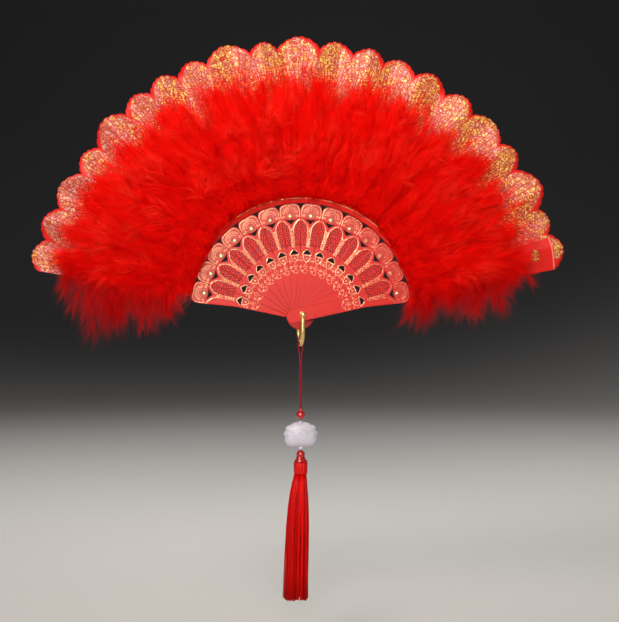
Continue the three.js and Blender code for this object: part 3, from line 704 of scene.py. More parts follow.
def pearl_resin():
    """Cast resin in imitation of white jade: milky, with a faint pearl cloud and a soft gloss."""
    material, tree, shader = new_finish("white_pearl_resin", "#C4C0CA", 0.42)
    place = add_node(tree, "ShaderNodeTexCoord").outputs["Object"]
    cloud = add_node(tree, "ShaderNodeTexNoise", [("Vector", place), ("Scale", per_mm(7)), ("Detail", 3.0)])
    colour = add_node(tree, "ShaderNodeMix", [
        (0, cloud.outputs["Fac"]), (6, linear("#96929C")), (7, linear("#A8A4AE")),
    ], data_type="RGBA")
    tree.links.new(colour.outputs[2], shader.inputs["Base Color"])
    shader.inputs["Subsurface Weight"].default_value = 0.15
    shader.inputs["Subsurface Radius"].default_value = (1.0, 0.9, 0.9)
    shader.inputs["Subsurface Scale"].default_value = 2 * MM
    return material


def studio_paper():
    """Seamless studio paper: a pale floor that runs up into a wall, which is dark behind the fan."""
    material, tree, shader = new_finish("studio_paper", "#D8D6D2", 0.9)
    place = add_node(tree, "ShaderNodeTexCoord").outputs["Object"]
    parts = add_node(tree, "ShaderNodeSeparateXYZ", [(0, place)])
    behind = add_node(tree, "ShaderNodeMapRange", [
        ("Value", parts.outputs[1]), ("From Min", 0.3), ("From Max", 2.2),
    ], interpolation_type="SMOOTHSTEP")
    colour = add_node(tree, "ShaderNodeMix", [
        (0, behind.outputs["Result"]), (6, linear("#C6C4C0")), (7, linear("#262628")),
    ], data_type="RGBA")
    tree.links.new(colour.outputs[2], shader.inputs["Base Color"])
    shader.inputs["Specular IOR Level"].default_value = 0.1
    return material


# Mesh helpers

def add_object(name, mesh, *finishes):
    """A new object for a mesh, with its materials in order."""
    for finish in finishes:
        mesh.materials.append(finish)
    made = bpy.data.objects.new(name, mesh)
    bpy.context.scene.collection.objects.link(made)
    return made


def mesh_of(bm, name):
    """A bmesh as a finished mesh with smooth shading."""
    for face in bm.faces:
        face.smooth = True
    mesh = bpy.data.meshes.new(name)
    bm.to_mesh(mesh)
    bm.free()
    return mesh


def curve_mesh(name, paths, cyclic, dimensions, swell=None, **settings):
    """The mesh of a curve through each path of points, worked in millimetres and returned in metres."""
    curve = bpy.data.curves.new(name, "CURVE")
    curve.dimensions = dimensions
    for key, value in settings.items():
        setattr(curve, key, value)
    for path in paths:
        spline = curve.splines.new("POLY")
        spline.points.add(len(path) - 1)
        places = np.ones((len(path), 4))
        places[:, :3] = np.pad(np.asarray(path), ((0, 0), (0, 3 - np.shape(path)[1]))) / MM
        spline.points.foreach_set("co", places.ravel())
        spline.use_cyclic_u = cyclic
        if swell is not None:
            spline.points.foreach_set("radius", swell)
    holder = bpy.data.objects.new(name, curve)
    mesh = bpy.data.meshes.new_from_object(holder)
    mesh.transform(Matrix.Scale(MM, 4))
    bpy.data.objects.remove(holder)
    bpy.data.curves.remove(curve)
    return mesh


def tube(name, paths, radius, fineness=1, cyclic=False, swell=None):
    """Round lines along paths of points, thicker or thinner where swell says so."""
    return curve_mesh(
        name, paths, cyclic, "3D", swell,
        bevel_depth=radius / MM, bevel_resolution=fineness, use_fill_caps=not cyclic,
    )


def plate(name, outlines, thickness, edge):
    """A flat plate with rounded rims, from an outline and its holes as (u, v), standing on height 0."""
    mesh = curve_mesh(
        name, outlines, True, "2D", fill_mode="BOTH", extrude=(thickness / 2 - edge) / MM,
        bevel_depth=edge / MM, bevel_resolution=1, offset=-edge / MM,
    )
    mesh.transform(Matrix.Translation((0, 0, thickness / 2)))
    return mesh


def join(bm, mesh, finish, smooth):
    """Adds a mesh to a bmesh, with its material's number, and deletes it."""
    start = len(bm.faces)
    bm.from_mesh(mesh)
    bm.faces.ensure_lookup_table()
    for face in bm.faces[start:]:
        face.material_index = finish
        face.smooth = smooth
    bpy.data.meshes.remove(mesh)


def turned(profile, axis, steps=48):
    """A profile of (radius, place along the axis) spun round the axis, as a bmesh."""
    bm = bmesh.new()
    outward = Vector((1, 0, 0))
    rim = [bm.verts.new(outward * radius + Vector(axis) * place) for radius, place in profile]
    edges = [bm.edges.new(pair) for pair in zip(rim, rim[1:])]
    bmesh.ops.spin(
        bm, geom=rim + edges, cent=(0, 0, 0), axis=axis, angle=math.tau, steps=steps, use_merge=True,
    )
    bmesh.ops.remove_doubles(bm, verts=bm.verts, dist=1e-7)
    bmesh.ops.recalc_face_normals(bm, faces=bm.faces)
    return bm


def arc(centre, radius, start, end, steps):
    """Points on an arc about a (u, v) centre, from one angle to another in degrees."""
    turns = np.radians(np.linspace(start, end, steps + 1))
    return np.stack([centre[0] + radius * np.cos(turns), centre[1] + radius * np.sin(turns)], axis=1)


def bow(start, bend, end, share):
    """Places on quadratic curves, for arrays of points and of shares along them."""
    return (1 - share) ** 2 * start + 2 * share * (1 - share) * bend + share ** 2 * end


def bow_points(start, bend, end, steps):
    """Points along one quadratic curve, without its end."""
    share = np.linspace(0, 1, steps, endpoint=False)[:, None]
    return bow(np.array(start), np.array(bend), np.array(end), share)


def smooth_path(points, steps):
    """A Catmull-Rom curve through points, with a number of steps between each two."""
    points = np.asarray(points, float)
    ends = np.vstack([2 * points[0] - points[1], points, 2 * points[-1] - points[-2]])
    share = np.linspace(0, 1, steps, endpoint=False)[:, None]
    runs = []
    for a, b, c, d in zip(ends, ends[1:], ends[2:], ends[3:]):
        runs.append(0.5 * (
            2 * b + (c - a) * share + (2 * a - 5 * b + 4 * c - d) * share ** 2
            + (3 * b - a - 3 * c + d) * share ** 3
        ))
    return np.vstack([*runs, points[-1:]])


def mirrored(path):
    """A path of (u, v) on the other side of the stick's middle."""
    return np.asarray(path) * (1, -1)


def at_height(path, height):
    """A path of (u, v) as points at a height above the stick's back."""
    return np.column_stack([path, np.full(len(path), height)])


# The open fan's own places

def on_fan(angle, radius, depth):
    """Points at angles above +X in degrees, distances from the pin, and depths."""
    turn = np.radians(angle)
    return np.stack(np.broadcast_arrays(radius * np.cos(turn), depth, radius * np.sin(turn)), axis=-1)


def stick_angle(index):
    return FIRST_STICK + index * STICK_STEP


def stick_thickness(index):
    return GUARD_THICKNESS if index in (0, STICK_COUNT - 1) else STICK_THICKNESS


def stick_front(index):
    """The depth of a stick's front face."""
    before = GUARD_THICKNESS + GAP + (index - 1) * (STICK_THICKNESS + GAP) if index else 0
    return before - STACK_DEPTH / 2


def stick_body(index):
    if index == 0:
        return "front_guard"
    return "rear_guard" if index == STICK_COUNT - 1 else f"inner_stick_{index:02d}"


def slot_front(angle):
    """The depth of the sticks' front faces, run smoothly from stick to stick."""
    sticks = range(STICK_COUNT)
    return np.interp(angle, [stick_angle(s) for s in sticks], [stick_front(s) for s in sticks])


def pleat_wave(angle):
    """The pleats' zigzag with rounded folds: negative at a front fold and 0 at each stick."""
    turn = math.tau * (np.asarray(angle) - FIRST_STICK) / STICK_STEP
    return -np.arcsin(FOLD_ROUNDING * np.sin(turn)) / (math.pi / 2)


def leaf_depth(angle, radius):
    """The leaf's middle surface."""
    return slot_front(angle) - LEAF_STANDOFF + pleat_wave(angle) * radius * FOLD_RISE


def lobe_place(angle):
    """How many lobes lie between the leaf's front end and an angle."""
    return np.interp(angle, SCALLOPS, np.arange(LEAF_LOBES + 1)).clip(0, LEAF_LOBES - 1e-6)


def leaf_edge(angle):
    """The scalloped edge: wide and narrow lobes, each with a row of small picots."""
    place = lobe_place(angle)
    lobe = np.floor(place)
    across = 2 * (place - lobe) - 1
    rise = np.where(lobe == 0, FLAP_RISE, SCALLOP_RISE * np.diff(SCALLOPS)[lobe.astype(int)])
    picot = PICOT_DEPTH * (1 - np.abs(np.sin(math.pi * PICOTS * (place - lobe))))
    dip = EDGE_DIP * np.exp(-((angle - EDGE_DIP_ANGLE) / EDGE_DIP_SPREAD) ** 2)
    return LEAF_VALLEY - dip - picot + rise * np.maximum(0, np.cos(across * math.pi / 2)) ** 0.85


def fluff_back(angle, radius):
    """The plane in front of the leaf's front folds, where the feathers start."""
    return slot_front(angle) - LEAF_STANDOFF - LEAF_SOLID - radius * FOLD_RISE


# Sticks

def stick_half_width(u):
    return np.interp(u, [FLARE_START, BLADE_SHOULDER], [SHANK_HALF, BLADE_HALF])


def stick_outline():
    """A round tail, a parallel shank, a flared blade with a round top, and a rib."""
    side = np.vstack([
        [(FLARE_START, -SHANK_HALF)],
        bow_points(
            (BLADE_SHOULDER, -BLADE_HALF), (BLADE_TOP, -BLADE_HALF), (BLADE_TOP, -BLADE_FLAT_HALF), 12,
        ),
        [(BLADE_TOP, -BLADE_FLAT_HALF), (BLADE_TOP, -RIB_ROOT_HALF), (RIB_END, -RIB_TIP_HALF)],
    ])
    tail = arc((SHANK_HALF - TAIL_REACH, 0), SHANK_HALF, 90, 270, 20)
    return np.vstack([tail, side, mirrored(side)[::-1]])


def heart_outline():
    """The heart below the medallion: two shoulders that meet in a point towards the pin."""
    low = (HEART_U - HEART_HALF_HEIGHT, 0)
    left = (HEART_U + HEART_HALF_HEIGHT, HEART_HALF_WIDTH)
    right = (left[0], -left[1])
    return np.vstack([
        bow_points(low, (HEART_U, left[1] / 2), left, 6),
        bow_points(left, (HEART_U, 0), right, 6),
        bow_points(right, (HEART_U, right[1] / 2), low, 6),
    ])


def arrow_outline(grow=0.0):
    """The arrow head above the gorge: a straight base and a bowed point."""
    low = ARROW_U - ARROW_HALF_HEIGHT - grow
    point = (ARROW_U + ARROW_HALF_HEIGHT + grow, 0)
    side = ARROW_HALF_WIDTH + grow
    return np.vstack([
        bow_points((low, -side), (ARROW_U, -side), point, 6),
        bow_points(point, (ARROW_U, side), (low, side), 6),
        [(low, side)],
    ])


def pierced_places(pad_side):
    """Staggered rows of pierced dots on the wings, between the gold arms and the edges.

    A guard's outer wing is plain.
    """
    places = []
    rows = np.arange(COLUMN_FOOT + PIERCED_STEP, ARM[-1][0] - PIERCED_STEP, PIERCED_STEP)
    for row, u in enumerate(rows):
        inner = np.interp(u, ARM[:, 0], ARM[:, 1]) + PIERCED_FROM_ARM
        outer = stick_half_width(u) - PIERCED_FROM_EDGE
        for v in np.arange(inner + (row % 2) * PIERCED_STEP / 2, outer, PIERCED_STEP):
            places += [(u, side * v) for side in (1, -1) if side != -pad_side]
    return places


def medallion_outline():
    """The field inside a medallion's edge."""
    rim = 0.8 * MM
    top, half = BLADE_TOP - rim, BLADE_HALF - rim
    side = np.vstack([
        [(HEART_U + HEART_HALF_HEIGHT + 0.3 * MM, -5 * MM), (80 * MM, -7.5 * MM)],
        bow_points((BLADE_SHOULDER, -half), (top, -half), (top, -BLADE_FLAT_HALF), 8),
        [(top, -BLADE_FLAT_HALF)],
    ])
    return np.vstack([side, mirrored(side)[::-1]])


def lobe_outline():
    """The lobe below the arrow head."""
    return smooth_path(np.array([(48.2, -2.7), (45.2, -2.6), (42.4, 0), (45.2, 2.6), (48.2, 2.7)]) * MM, 4)


def scroll(centre, radius, start, turns):
    """A spiral that winds in round a (u, v) centre."""
    share = np.linspace(0, 1, 14)
    angle = np.radians(start) + share * turns * math.tau
    reach = radius * (1 - 0.75 * share)
    return np.stack([centre[0] + reach * np.cos(angle), centre[1] + reach * np.sin(angle)], axis=1)


def gold_lines():
    """The stamped lines on a stick, as (paths, half width, closed) groups."""
    arm = smooth_path(ARM, 5)
    column = np.array([(COLUMN_FOOT, COLUMN_HALF * 0.8), (COLUMN_TOP, COLUMN_HALF)])
    lozenge = np.array([(41.4, 0), (38.8, 1.7), (36.2, 0), (38.8, -1.7)]) * MM
    chevron = smooth_path(np.array([(36.4, -4.6), (34.4, -2.6), (33.2, 0), (34.4, 2.6), (36.4, 4.6)]) * MM, 3)
    crest = smooth_path(np.array([(78.6, 7.2), (81, 7.8), (85, 7.8), (88, 6.4), (89, 3.2), (89, 0)]) * MM, 4)
    rings = [arc((RING_U, 0), radius, -82, 82, 16) for radius in RING_RADII]
    curls = [
        scroll((43.4 * MM, 4.1 * MM), 1.2 * MM, 200, 1.3),
        scroll((38.6 * MM, 3.9 * MM), 1.3 * MM, 120, 1.3),
        scroll((35.4 * MM, 1.9 * MM), 0.9 * MM, 60, 1.2),
        scroll((79.8 * MM, 5.7 * MM), 1.1 * MM, 250, 1.3),
    ]
    curls += [mirrored(curl) for curl in curls]
    return [
        ([arm, mirrored(arm)], 0.52 * MM, False),
        ([column, mirrored(column)], 0.3 * MM, False),
        ([lobe_outline()], 0.42 * MM, False),
        ([arrow_outline(0.6 * MM)], 0.42 * MM, True),
        ([crest, mirrored(crest)], 0.38 * MM, False),
        ([*rings, chevron, *curls], 0.22 * MM, False),
        ([lozenge], 0.24 * MM, True),
    ]


def gold_studs():
    """The stamped domes on a stick, as (u, v, radius)."""
    studs = [(BOSS_U, 0, BOSS_RADIUS)]
    chain = np.arange(COLUMN_FOOT + CHAIN_STEP / 2, COLUMN_TOP, CHAIN_STEP)
    studs += [(u, 0, 0.8 * MM) for u in chain]
    studs += [(u, v, 0.4 * MM) for u, v in arc((RING_U, 0), 5.55 * MM, -80, 80, 10)]
    studs += [(38.8 * MM, 0, 0.6 * MM), (45.4 * MM, 0, 0.9 * MM)]
    studs += [(46 * MM, side * 4.3 * MM, 0.5 * MM) for side in (-1, 1)]
    return studs


def stick_bmesh(thickness, pad_side):
    """One stick in its own places: the pierced plate, its foiled fields, its edge ridges and its gold."""
    plastic, gold, pink = 0, 1, 2
    holes = [arc((0, 0), PIN_HOLE, 0, 345, 23), heart_outline(), arrow_outline()]
    holes += [arc(place, PIERCED_RADIUS, 0, 315, 7) for place in pierced_places(pad_side)]
    bm = bmesh.new()
    join(bm, plate("stick_plate", [stick_outline(), *holes], thickness, STICK_EDGE), plastic, False)
    for outline in (medallion_outline(), lobe_outline()):
        field = plate("foiled_field", [outline], thickness / 2 + FIELD_RISE, FIELD_RISE / 2)
        field.transform(Matrix.Translation((0, 0, thickness / 2)))
        join(bm, field, pink, False)

    ridge_u = np.array([COLUMN_FOOT, ARM[-1][0] - RIDGE_FROM_ARM])
    ridge = np.column_stack([ridge_u, stick_half_width(ridge_u) - RIDGE_FROM_EDGE])
    ridges = [at_height(path, thickness) for path in (ridge, mirrored(ridge))]
    join(bm, tube("edge_ridges", ridges, RIDGE_RADIUS), plastic, True)

    for paths, half_width, closed in gold_lines():
        lines = [at_height(path, thickness) for path in paths]
        join(bm, tube("gold_lines", lines, half_width, cyclic=closed), gold, True)
    domes = bmesh.new()
    for u, v, radius in gold_studs():
        flatten = Matrix.Translation((u, v, thickness)) @ Matrix.Diagonal((1, 1, STUD_HEIGHT, 1))
        bmesh.ops.create_uvsphere(domes, u_segments=10, v_segments=6, radius=radius, matrix=flatten)
    join(bm, mesh_of(domes, "gold_domes"), gold, True)

    if pad_side:
        corners = np.array([
            (PAD_START, -PAD_HALF), (PAD_END, -PAD_HALF), (PAD_END, PAD_HALF), (PAD_START, PAD_HALF),
        ])
        pad = plate("guard_pad", [corners], PAD_HEIGHT + thickness / 2, STICK_EDGE)
        pad.transform(Matrix.Translation((0, 0, thickness / 2 if pad_side > 0 else -PAD_HEIGHT)))
        join(bm, pad, plastic, False)
    return bm


def stick_place(index):
    """The matrix from a stick's own places to the open fan."""
    turn = math.radians(stick_angle(index))
    along = Vector((math.cos(turn), 0, math.sin(turn)))
    across = Vector((-math.sin(turn), 0, math.cos(turn)))
    place = Matrix((along, across, (0, -1, 0))).transposed().to_4x4()
    place.translation = (0, stick_front(index) + stick_thickness(index), 0)
    return place


def add_sticks(plastic, gold, pink):
    names = ["guard_front", *[f"stick_{index:02d}" for index in range(1, STICK_COUNT - 1)], "guard_rear"]
    pad_sides = {0: 1, STICK_COUNT - 1: -1}
    for index, name in enumerate(names):
        bm = stick_bmesh(stick_thickness(index), pad_sides.get(index, 0))
        bmesh.ops.transform(bm, matrix=stick_place(index), verts=bm.verts)
        mesh = bpy.data.meshes.new(f"{name}_relief")
        bm.to_mesh(mesh)
        bm.free()
        stick = add_object(f"{name}_relief", mesh, plastic, gold, pink)
        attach(stick, stick_body(index))
        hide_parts(name)


# Pin and bail

def dome_profile(radius, base, height):
    """A dome from its rim to the axis, as (radius, place along the axis)."""
    turns = np.linspace(0, math.pi / 2, 11)
    points = np.stack([radius * np.cos(turns), base + height * np.sin(turns)], axis=1)
    points[-1, 0] = 0
    return points


def add_pin(gilt):
    head_base = EYE_FRONT - GAP
    nut_base = EYE_BACK + GAP
    neck = 0.25 * MM
    shank = [(PIN_RADIUS, head_base), (PIN_RADIUS, nut_base + NUT_HEIGHT / 2 - GAP)]
    profile = np.vstack([
        dome_profile(PIN_HEAD_RADIUS, head_base - neck, neck - PIN_HEAD_HEIGHT)[::-1],
        [(PIN_HEAD_RADIUS - neck, head_base)], shank, [(0, shank[1][1])],
    ])
    pin = add_object("pivot_pin_polished", mesh_of(turned(profile, ACROSS_PIN), "pivot_pin_polished"), gilt)
    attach(pin, "front_guard")
    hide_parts("pivot_pin")

    bore = PIN_RADIUS + GAP
    seat = nut_base + NUT_HEIGHT / 2
    profile = np.vstack([
        [(bore, nut_base)], dome_profile(PIN_HEAD_RADIUS, nut_base, NUT_HEIGHT),
        [(0, seat), (bore, seat), (bore, nut_base)],
    ])
    nut = add_object("pin_nut_polished", mesh_of(turned(profile, ACROSS_PIN), "pin_nut_polished"), gilt)
    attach(nut, "front_guard")
    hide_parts("pin_nut")


def bail_eye(base):
    """One ring round the pin, from a depth to a wire's thickness behind it, with rounded rims."""
    rounding, corner = 0.5 * MM, 0.15 * MM
    bore = PIN_RADIUS + GAP
    top = base + BAIL_WIRE
    return turned([
        (bore, base), (EYE_RADIUS - rounding, base), (EYE_RADIUS - corner, base + corner),
        (EYE_RADIUS, base + rounding), (EYE_RADIUS, top - rounding), (EYE_RADIUS - corner, top - corner),
        (EYE_RADIUS - rounding, top), (bore, top), (bore, base),
    ], ACROSS_PIN, 32)


def add_bail(gilt):
    """The bail: two legs from the pin's ends to a round bow below the tails, its front leg lightly ringed."""
    bow_centre = BOW_Z + LEG_DEPTH
    leg_top = -(PIN_RADIUS + GAP + EYE_RADIUS) / 2
    turns = np.linspace(0, math.pi, 33)
    bow_part = np.stack([
        np.zeros(33), -LEG_DEPTH * np.cos(turns), bow_centre - LEG_DEPTH * np.sin(turns),
    ], axis=1)
    legs = [(0, -LEG_DEPTH, leg_top), *bow_part, (0, LEG_DEPTH, leg_top)]
    bm = bmesh.new()
    swell = [1 + LEG_SWELL * abs(math.cos(turn)) ** 2 for turn in (0, *turns, math.pi)]
    join(bm, tube("bail_wire", [legs], BAIL_WIRE / 2, 6, swell=swell), 0, True)
    for base in (EYE_FRONT, EYE_BACK - BAIL_WIRE):
        join(bm, mesh_of(bail_eye(base), "bail_eye"), 0, True)
    rings = [
        [(KNURL_REACH * math.cos(turn), -LEG_DEPTH + KNURL_REACH * math.sin(turn), z)
         for turn in np.linspace(0, math.tau, 20, endpoint=False)]
        for z in np.arange(-EYE_RADIUS - KNURL_STEP, bow_centre, -KNURL_STEP)
    ]
    join(bm, tube("bail_rings", rings, KNURL_RADIUS, cyclic=True), 0, True)
    mesh = bpy.data.meshes.new("bail_polished")
    bm.to_mesh(mesh)
    bm.free()
    bail = add_object("bail_polished", mesh, gilt)
    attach(bail, "bail")
    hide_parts("bail")


# Cord

def twisted(path, diameter):
    """Two plies wound round a path of points that stays in the XZ plane."""
    path = np.asarray(path)
    ahead = np.gradient(path, axis=0)
    ahead /= np.linalg.norm(ahead, axis=1)[:, None]
    side = np.cross(ahead, (0, 1, 0))
    steps = np.linalg.norm(np.diff(path, axis=0), axis=1)
    turn = (np.concatenate([[0], np.cumsum(steps)]) / CORD_PITCH * math.tau)[:, None]
    offset = (np.cos(turn) * side + np.sin(turn) * np.array((0, 1, 0))) * diameter * (0.5 - PLY_SHARE)
    return [path + offset, path - offset]


def cord_path():
    """The doubled cord: up from the bead, over the bail's bow and down again."""
    loop = BAIL_WIRE / 2 + GAP + CORD_DIAMETER / 2
    slant = loop * math.sqrt(0.5)
    right = [*map(tuple, CORD_STRAND), (loop, BOW_Z), (slant, BOW_Z + slant), (0, BOW_Z + loop)]
    left = [(-x, z) for x, z in right[-2::-1]]
    return np.array([(x, 0, z) for x, z in right + left])


def even_path(points, step):
    """The same path in even steps, and its length."""
    lengths = np.concatenate([[0], np.cumsum(np.linalg.norm(np.diff(points, axis=0), axis=1))])
    places = np.linspace(0, lengths[-1], int(lengths[-1] / step) + 1)
    return np.stack([np.interp(places, lengths, points[:, axis]) for axis in range(3)], axis=1), lengths[-1]


def plied(node, path, thread):
    """A cord of two plies along a path."""
    mesh = tube(node, twisted(path, CORD_DIAMETER), CORD_DIAMETER * PLY_SHARE)
    mesh.shade_smooth()
    return add_object(f"{node}_twisted", mesh, thread)


def add_cords(thread):
    smooth = smooth_path(cord_path(), 12)
    path, length = even_path(smooth, CORD_PITCH / 10)
    cord = plied("hanging_cord", path, thread)
    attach(cord, "cord")
    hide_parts("hanging_cord")

    ends = np.array([(0, 0, STRAND_FOOT - GAP), (0, 0, COLLAR_TOP + GAP)])
    path, length = even_path(ends, CORD_PITCH / 10)
    core = plied("core_cord", path, thread)
    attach(core, "pendant")
    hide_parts("core_cord")


# Leaf

def leaf_mesh(name, start, end):
    """A stretch of the pleated leaf between two angles, with the print's places in an attribute."""
    columns = round((end - start) / LEAF_COLUMN)
    bm = bmesh.new()
    layout = bm.loops.layers.uv.new(BAKE_MAP)
    lace = bm.verts.layers.float_vector.new("lace")
    facet_reflection_layer = bm.verts.layers.float.new("face")
    bmesh.ops.create_grid(bm, x_segments=columns, y_segments=LEAF_ROWS, size=0.5)
    bmesh.ops.reverse_faces(bm, faces=bm.faces)
    for face in bm.faces:
        for corner in face.loops:
            corner[layout].uv = ((corner.vert.co.x + 0.5) / 2, corner.vert.co.y + 0.5)
    shares = np.array([vert.co for vert in bm.verts]) + 0.5
    angle = start + (end - start) * shares[:, 0]
    edge = leaf_edge(angle)
    radius = LEAF_INNER + (edge - LEAF_INNER) * shares[:, 1]
    points = on_fan(angle, radius, leaf_depth(angle, radius))
    prints = np.stack([lobe_place(angle), radius / MM, (edge - radius) / MM], axis=1)
    # Which pleat facet each point lies on, for the foil's painted reflection
    sides = np.cos(math.tau * (angle - FIRST_STICK) / STICK_STEP)
    sides -= np.interp(angle, PINK_ANGLES, PINK_SHIFT)
    for vert, point, value, side in zip(bm.verts, points, prints, sides):
        vert.co = point
        vert[lace] = value
        vert[facet_reflection_layer] = side
    bmesh.ops.recalc_face_normals(bm, faces=bm.faces)
    if bm.faces[:][0].normal.y > 0:
        bmesh.ops.reverse_faces(bm, faces=bm.faces)
    bmesh.ops.solidify(bm, geom=bm.faces[:], thickness=LEAF_CLOTH)
    bm.normal_update()
    for face in bm.faces:
        if face.normal.y > 0.5:
            face.material_index = 1
            for corner in face.loops:
                corner[layout].uv.x += 0.5
    return mesh_of(bm, name)


def trim_mesh(name, start, end):
    """The gold trim line along the leaf's inner hem."""
    angles = np.linspace(start, end, round((end - start) / (2 * LEAF_COLUMN)) + 1)
    depth = leaf_depth(angles, TRIM_PLACE) - LEAF_CLOTH / 2 - TRIM_HALF * 0.7
    mesh = tube(name, [on_fan(angles, TRIM_PLACE, depth)], TRIM_HALF)
    mesh.shade_smooth()
    return mesh


def follow_fold(piece, index):
    """Bakes a piece's place into its mesh; the point half way between two neighbouring sticks is found but
    not used.
    """
    middle = stick_angle(index) - STICK_STEP / 2
    centre = Vector(on_fan(middle, (LEAF_INNER + LEAF_VALLEY) / 2, 0))
    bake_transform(piece)


def add_leaf_piece(node, start, end, printed, plain, gold):
    cloth = add_object(f"{node}_cloth", leaf_mesh(f"{node}_cloth", start, end), printed, plain)
    trim = add_object(f"{node}_trim", trim_mesh(f"{node}_trim", start, end), gold)
    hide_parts(node)
    return cloth, trim


def add_leaf(printed, plain, gold):
    for index in range(1, STICK_COUNT):
        node = f"leaf_pleat_{index:02d}"
        for piece in add_leaf_piece(node, stick_angle(index - 1), stick_angle(index), printed, plain, gold):
            follow_fold(piece, index)
    ends = [
        ("leaf_hem_front", LEAF_START, FIRST_STICK, 0),
        ("leaf_hem_rear", LAST_STICK, LEAF_END, STICK_COUNT - 1),
    ]
    for node, start, end, stick in ends:
        for piece in add_leaf_piece(node, start, end, printed, plain, gold):
            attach(piece, stick_body(stick))


# Feathers and threads

def strand_template(sides, cuts, pointed):
    """A unit strand along Z from 0 to 1, as its points and triangles."""
    bm = bmesh.new()
    bmesh.ops.create_cone(
        bm, cap_ends=True, segments=sides, radius1=1, radius2=0 if pointed else 1, depth=1,
        matrix=Matrix.Translation((0, 0, 0.5)),
    )
    for cut in np.linspace(0, 1, cuts + 2)[1:-1]:
        bmesh.ops.bisect_plane(
            bm, geom=bm.verts[:] + bm.edges[:] + bm.faces[:], plane_co=(0, 0, cut), plane_no=UPRIGHT,
        )
    bmesh.ops.triangulate(bm, faces=bm.faces)
    bm.verts.index_update()
    points = np.array([vert.co for vert in bm.verts])
    triangles = np.array([[vert.index for vert in face.verts] for face in bm.faces])
    bm.free()
    return points, triangles


def grow_strands(name, template, start, bend, end, radius, tones, clear=None):
    """Copies of a strand along quadratic curves, with each copy's tone and height in the bake map."""
    points, triangles = template
    share = points[:, 2][None, :, None]
    start, bend, end = start[:, None], bend[:, None], end[:, None]
    middle = bow(start, bend, end, share)
    ahead = 2 * (1 - share) * (bend - start) + 2 * share * (end - bend)
    ahead /= np.linalg.norm(ahead, axis=2, keepdims=True) + 1e-12
    away = draws.normal(size=(len(start), 1, 3))
    first = np.cross(ahead, away)
    first /= np.linalg.norm(first, axis=2, keepdims=True) + 1e-12
    second = np.cross(ahead, first)
    size = np.reshape(radius, (-1, 1, 1))
    places = middle + size * (points[:, 0, None] * first + points[:, 1, None] * second)
    if clear is not None:
        places = clear(places)
    count, corners = len(start), len(points)
    faces = triangles[None] + (np.arange(count) * corners)[:, None, None]
    mesh = bpy.data.meshes.new(name)
    mesh.vertices.add(count * corners)
    mesh.vertices.foreach_set("co", places.astype(np.float32).ravel())
    mesh.loops.add(faces.size)
    mesh.loops.foreach_set("vertex_index", faces.astype(np.int32).ravel())
    mesh.polygons.add(faces.size // 3)
    mesh.polygons.foreach_set("loop_start", np.arange(0, faces.size, 3, dtype=np.int32))
    mesh.update(calc_edges=True)
    mesh.shade_smooth()
    layout = mesh.uv_layers.new(name=BAKE_MAP)
    tone = np.broadcast_to(np.reshape(tones, (-1, 1, 1)), (count, len(triangles), 3))
    height = np.broadcast_to(points[triangles, 2][None], tone.shape)
    layout.uv.foreach_set("vector", np.stack([tone, height], axis=-1).astype(np.float32).ravel())
    return mesh


def plume(base, tip, rise, reach, clumps, hold, count):
    """One plume's barbs, as start, bend and end points and tones.

    Its quill bows out by rise from base to tip. Barbs leave it wide at its foot and close at its tip,
    and their ends gather into clumps, wholly where hold is 1.
    """
    foot_lean, lean_change, lean_scatter = 88, 58, 14
    long_share, long_size, droop = 0.1, 1.5, 0.08
    share = draws.uniform(0, 1, (count, 1)) ** 1.15
    middle = (base + tip) / 2 + rise
    start = bow(base, middle, tip, share)
    ahead = 2 * (1 - share) * (middle - base) + 2 * share * (tip - middle)
    ahead /= np.linalg.norm(ahead, axis=1, keepdims=True)
    side = np.cross(ahead, (0, 1, 0))
    side /= np.linalg.norm(side, axis=1, keepdims=True)
    front = np.cross(side, ahead)
    turn = draws.uniform(0, math.tau, (count, 1))
    out = np.cos(turn) * side + 0.8 * np.sin(turn) * front
    lean = np.radians(foot_lean - lean_change * share + draws.normal(0, lean_scatter, (count, 1)))
    length = reach * (0.55 + 0.45 * np.sin(math.pi * np.clip(0.15 + 0.75 * share, 0, 1)))
    length *= draws.uniform(0.55, 1.2, (count, 1))
    length *= np.where(draws.uniform(0, 1, (count, 1)) < long_share, long_size, 1)
    bend = start + 0.5 * length * (np.cos(lean) * ahead + np.sin(lean) * out)
    settle = draws.uniform(0.3, 0.9, (count, 1)) * lean
    end = start + length * (np.cos(settle) * ahead + np.sin(settle) * out)
    end += draws.normal(0, 0.1, (count, 3)) * length - np.array(UPRIGHT) * droop * length
    group = (np.floor(share[:, 0] * clumps) * 4 + np.floor(turn[:, 0] / (math.pi / 2))).astype(int)
    sizes = np.maximum(np.bincount(group), 1)
    centres = np.stack([np.bincount(group, end[:, axis]) for axis in range(3)], axis=1) / sizes[:, None]
    held = hold * draws.uniform(0.5, 1.0, (count, 1))
    end = end + (centres[group] - end) * held
    group_tones = draws.uniform(0, 1, group.max() + 1)
    # Barbs near the quill's foot, close to the sticks, get a lower tone: painted shade, among random tones
    # for each clump, barb and plume
    tones = 0.2 * share[:, 0] + 0.3 * group_tones[group] + 0.2 * draws.uniform(0, 1, count)
    tones += 0.3 * draws.uniform(0, 1)
    return start, bend, end, tones


def in_front(places):
    """Keeps strands in front of the leaf's folds, and draws in those that stand far out from them."""
    angle = np.degrees(np.arctan2(places[..., 2], places[..., 0])) % 360
    angle = np.where(angle > 270, angle - 360, angle)
    radius = np.hypot(places[..., 0], places[..., 2])
    back = fluff_back(angle, radius)
    forward = np.maximum(back - places[..., 1], 0)
    places[..., 1] = back - FLUFF_DEPTH * np.tanh(forward / FLUFF_DEPTH)
    return places


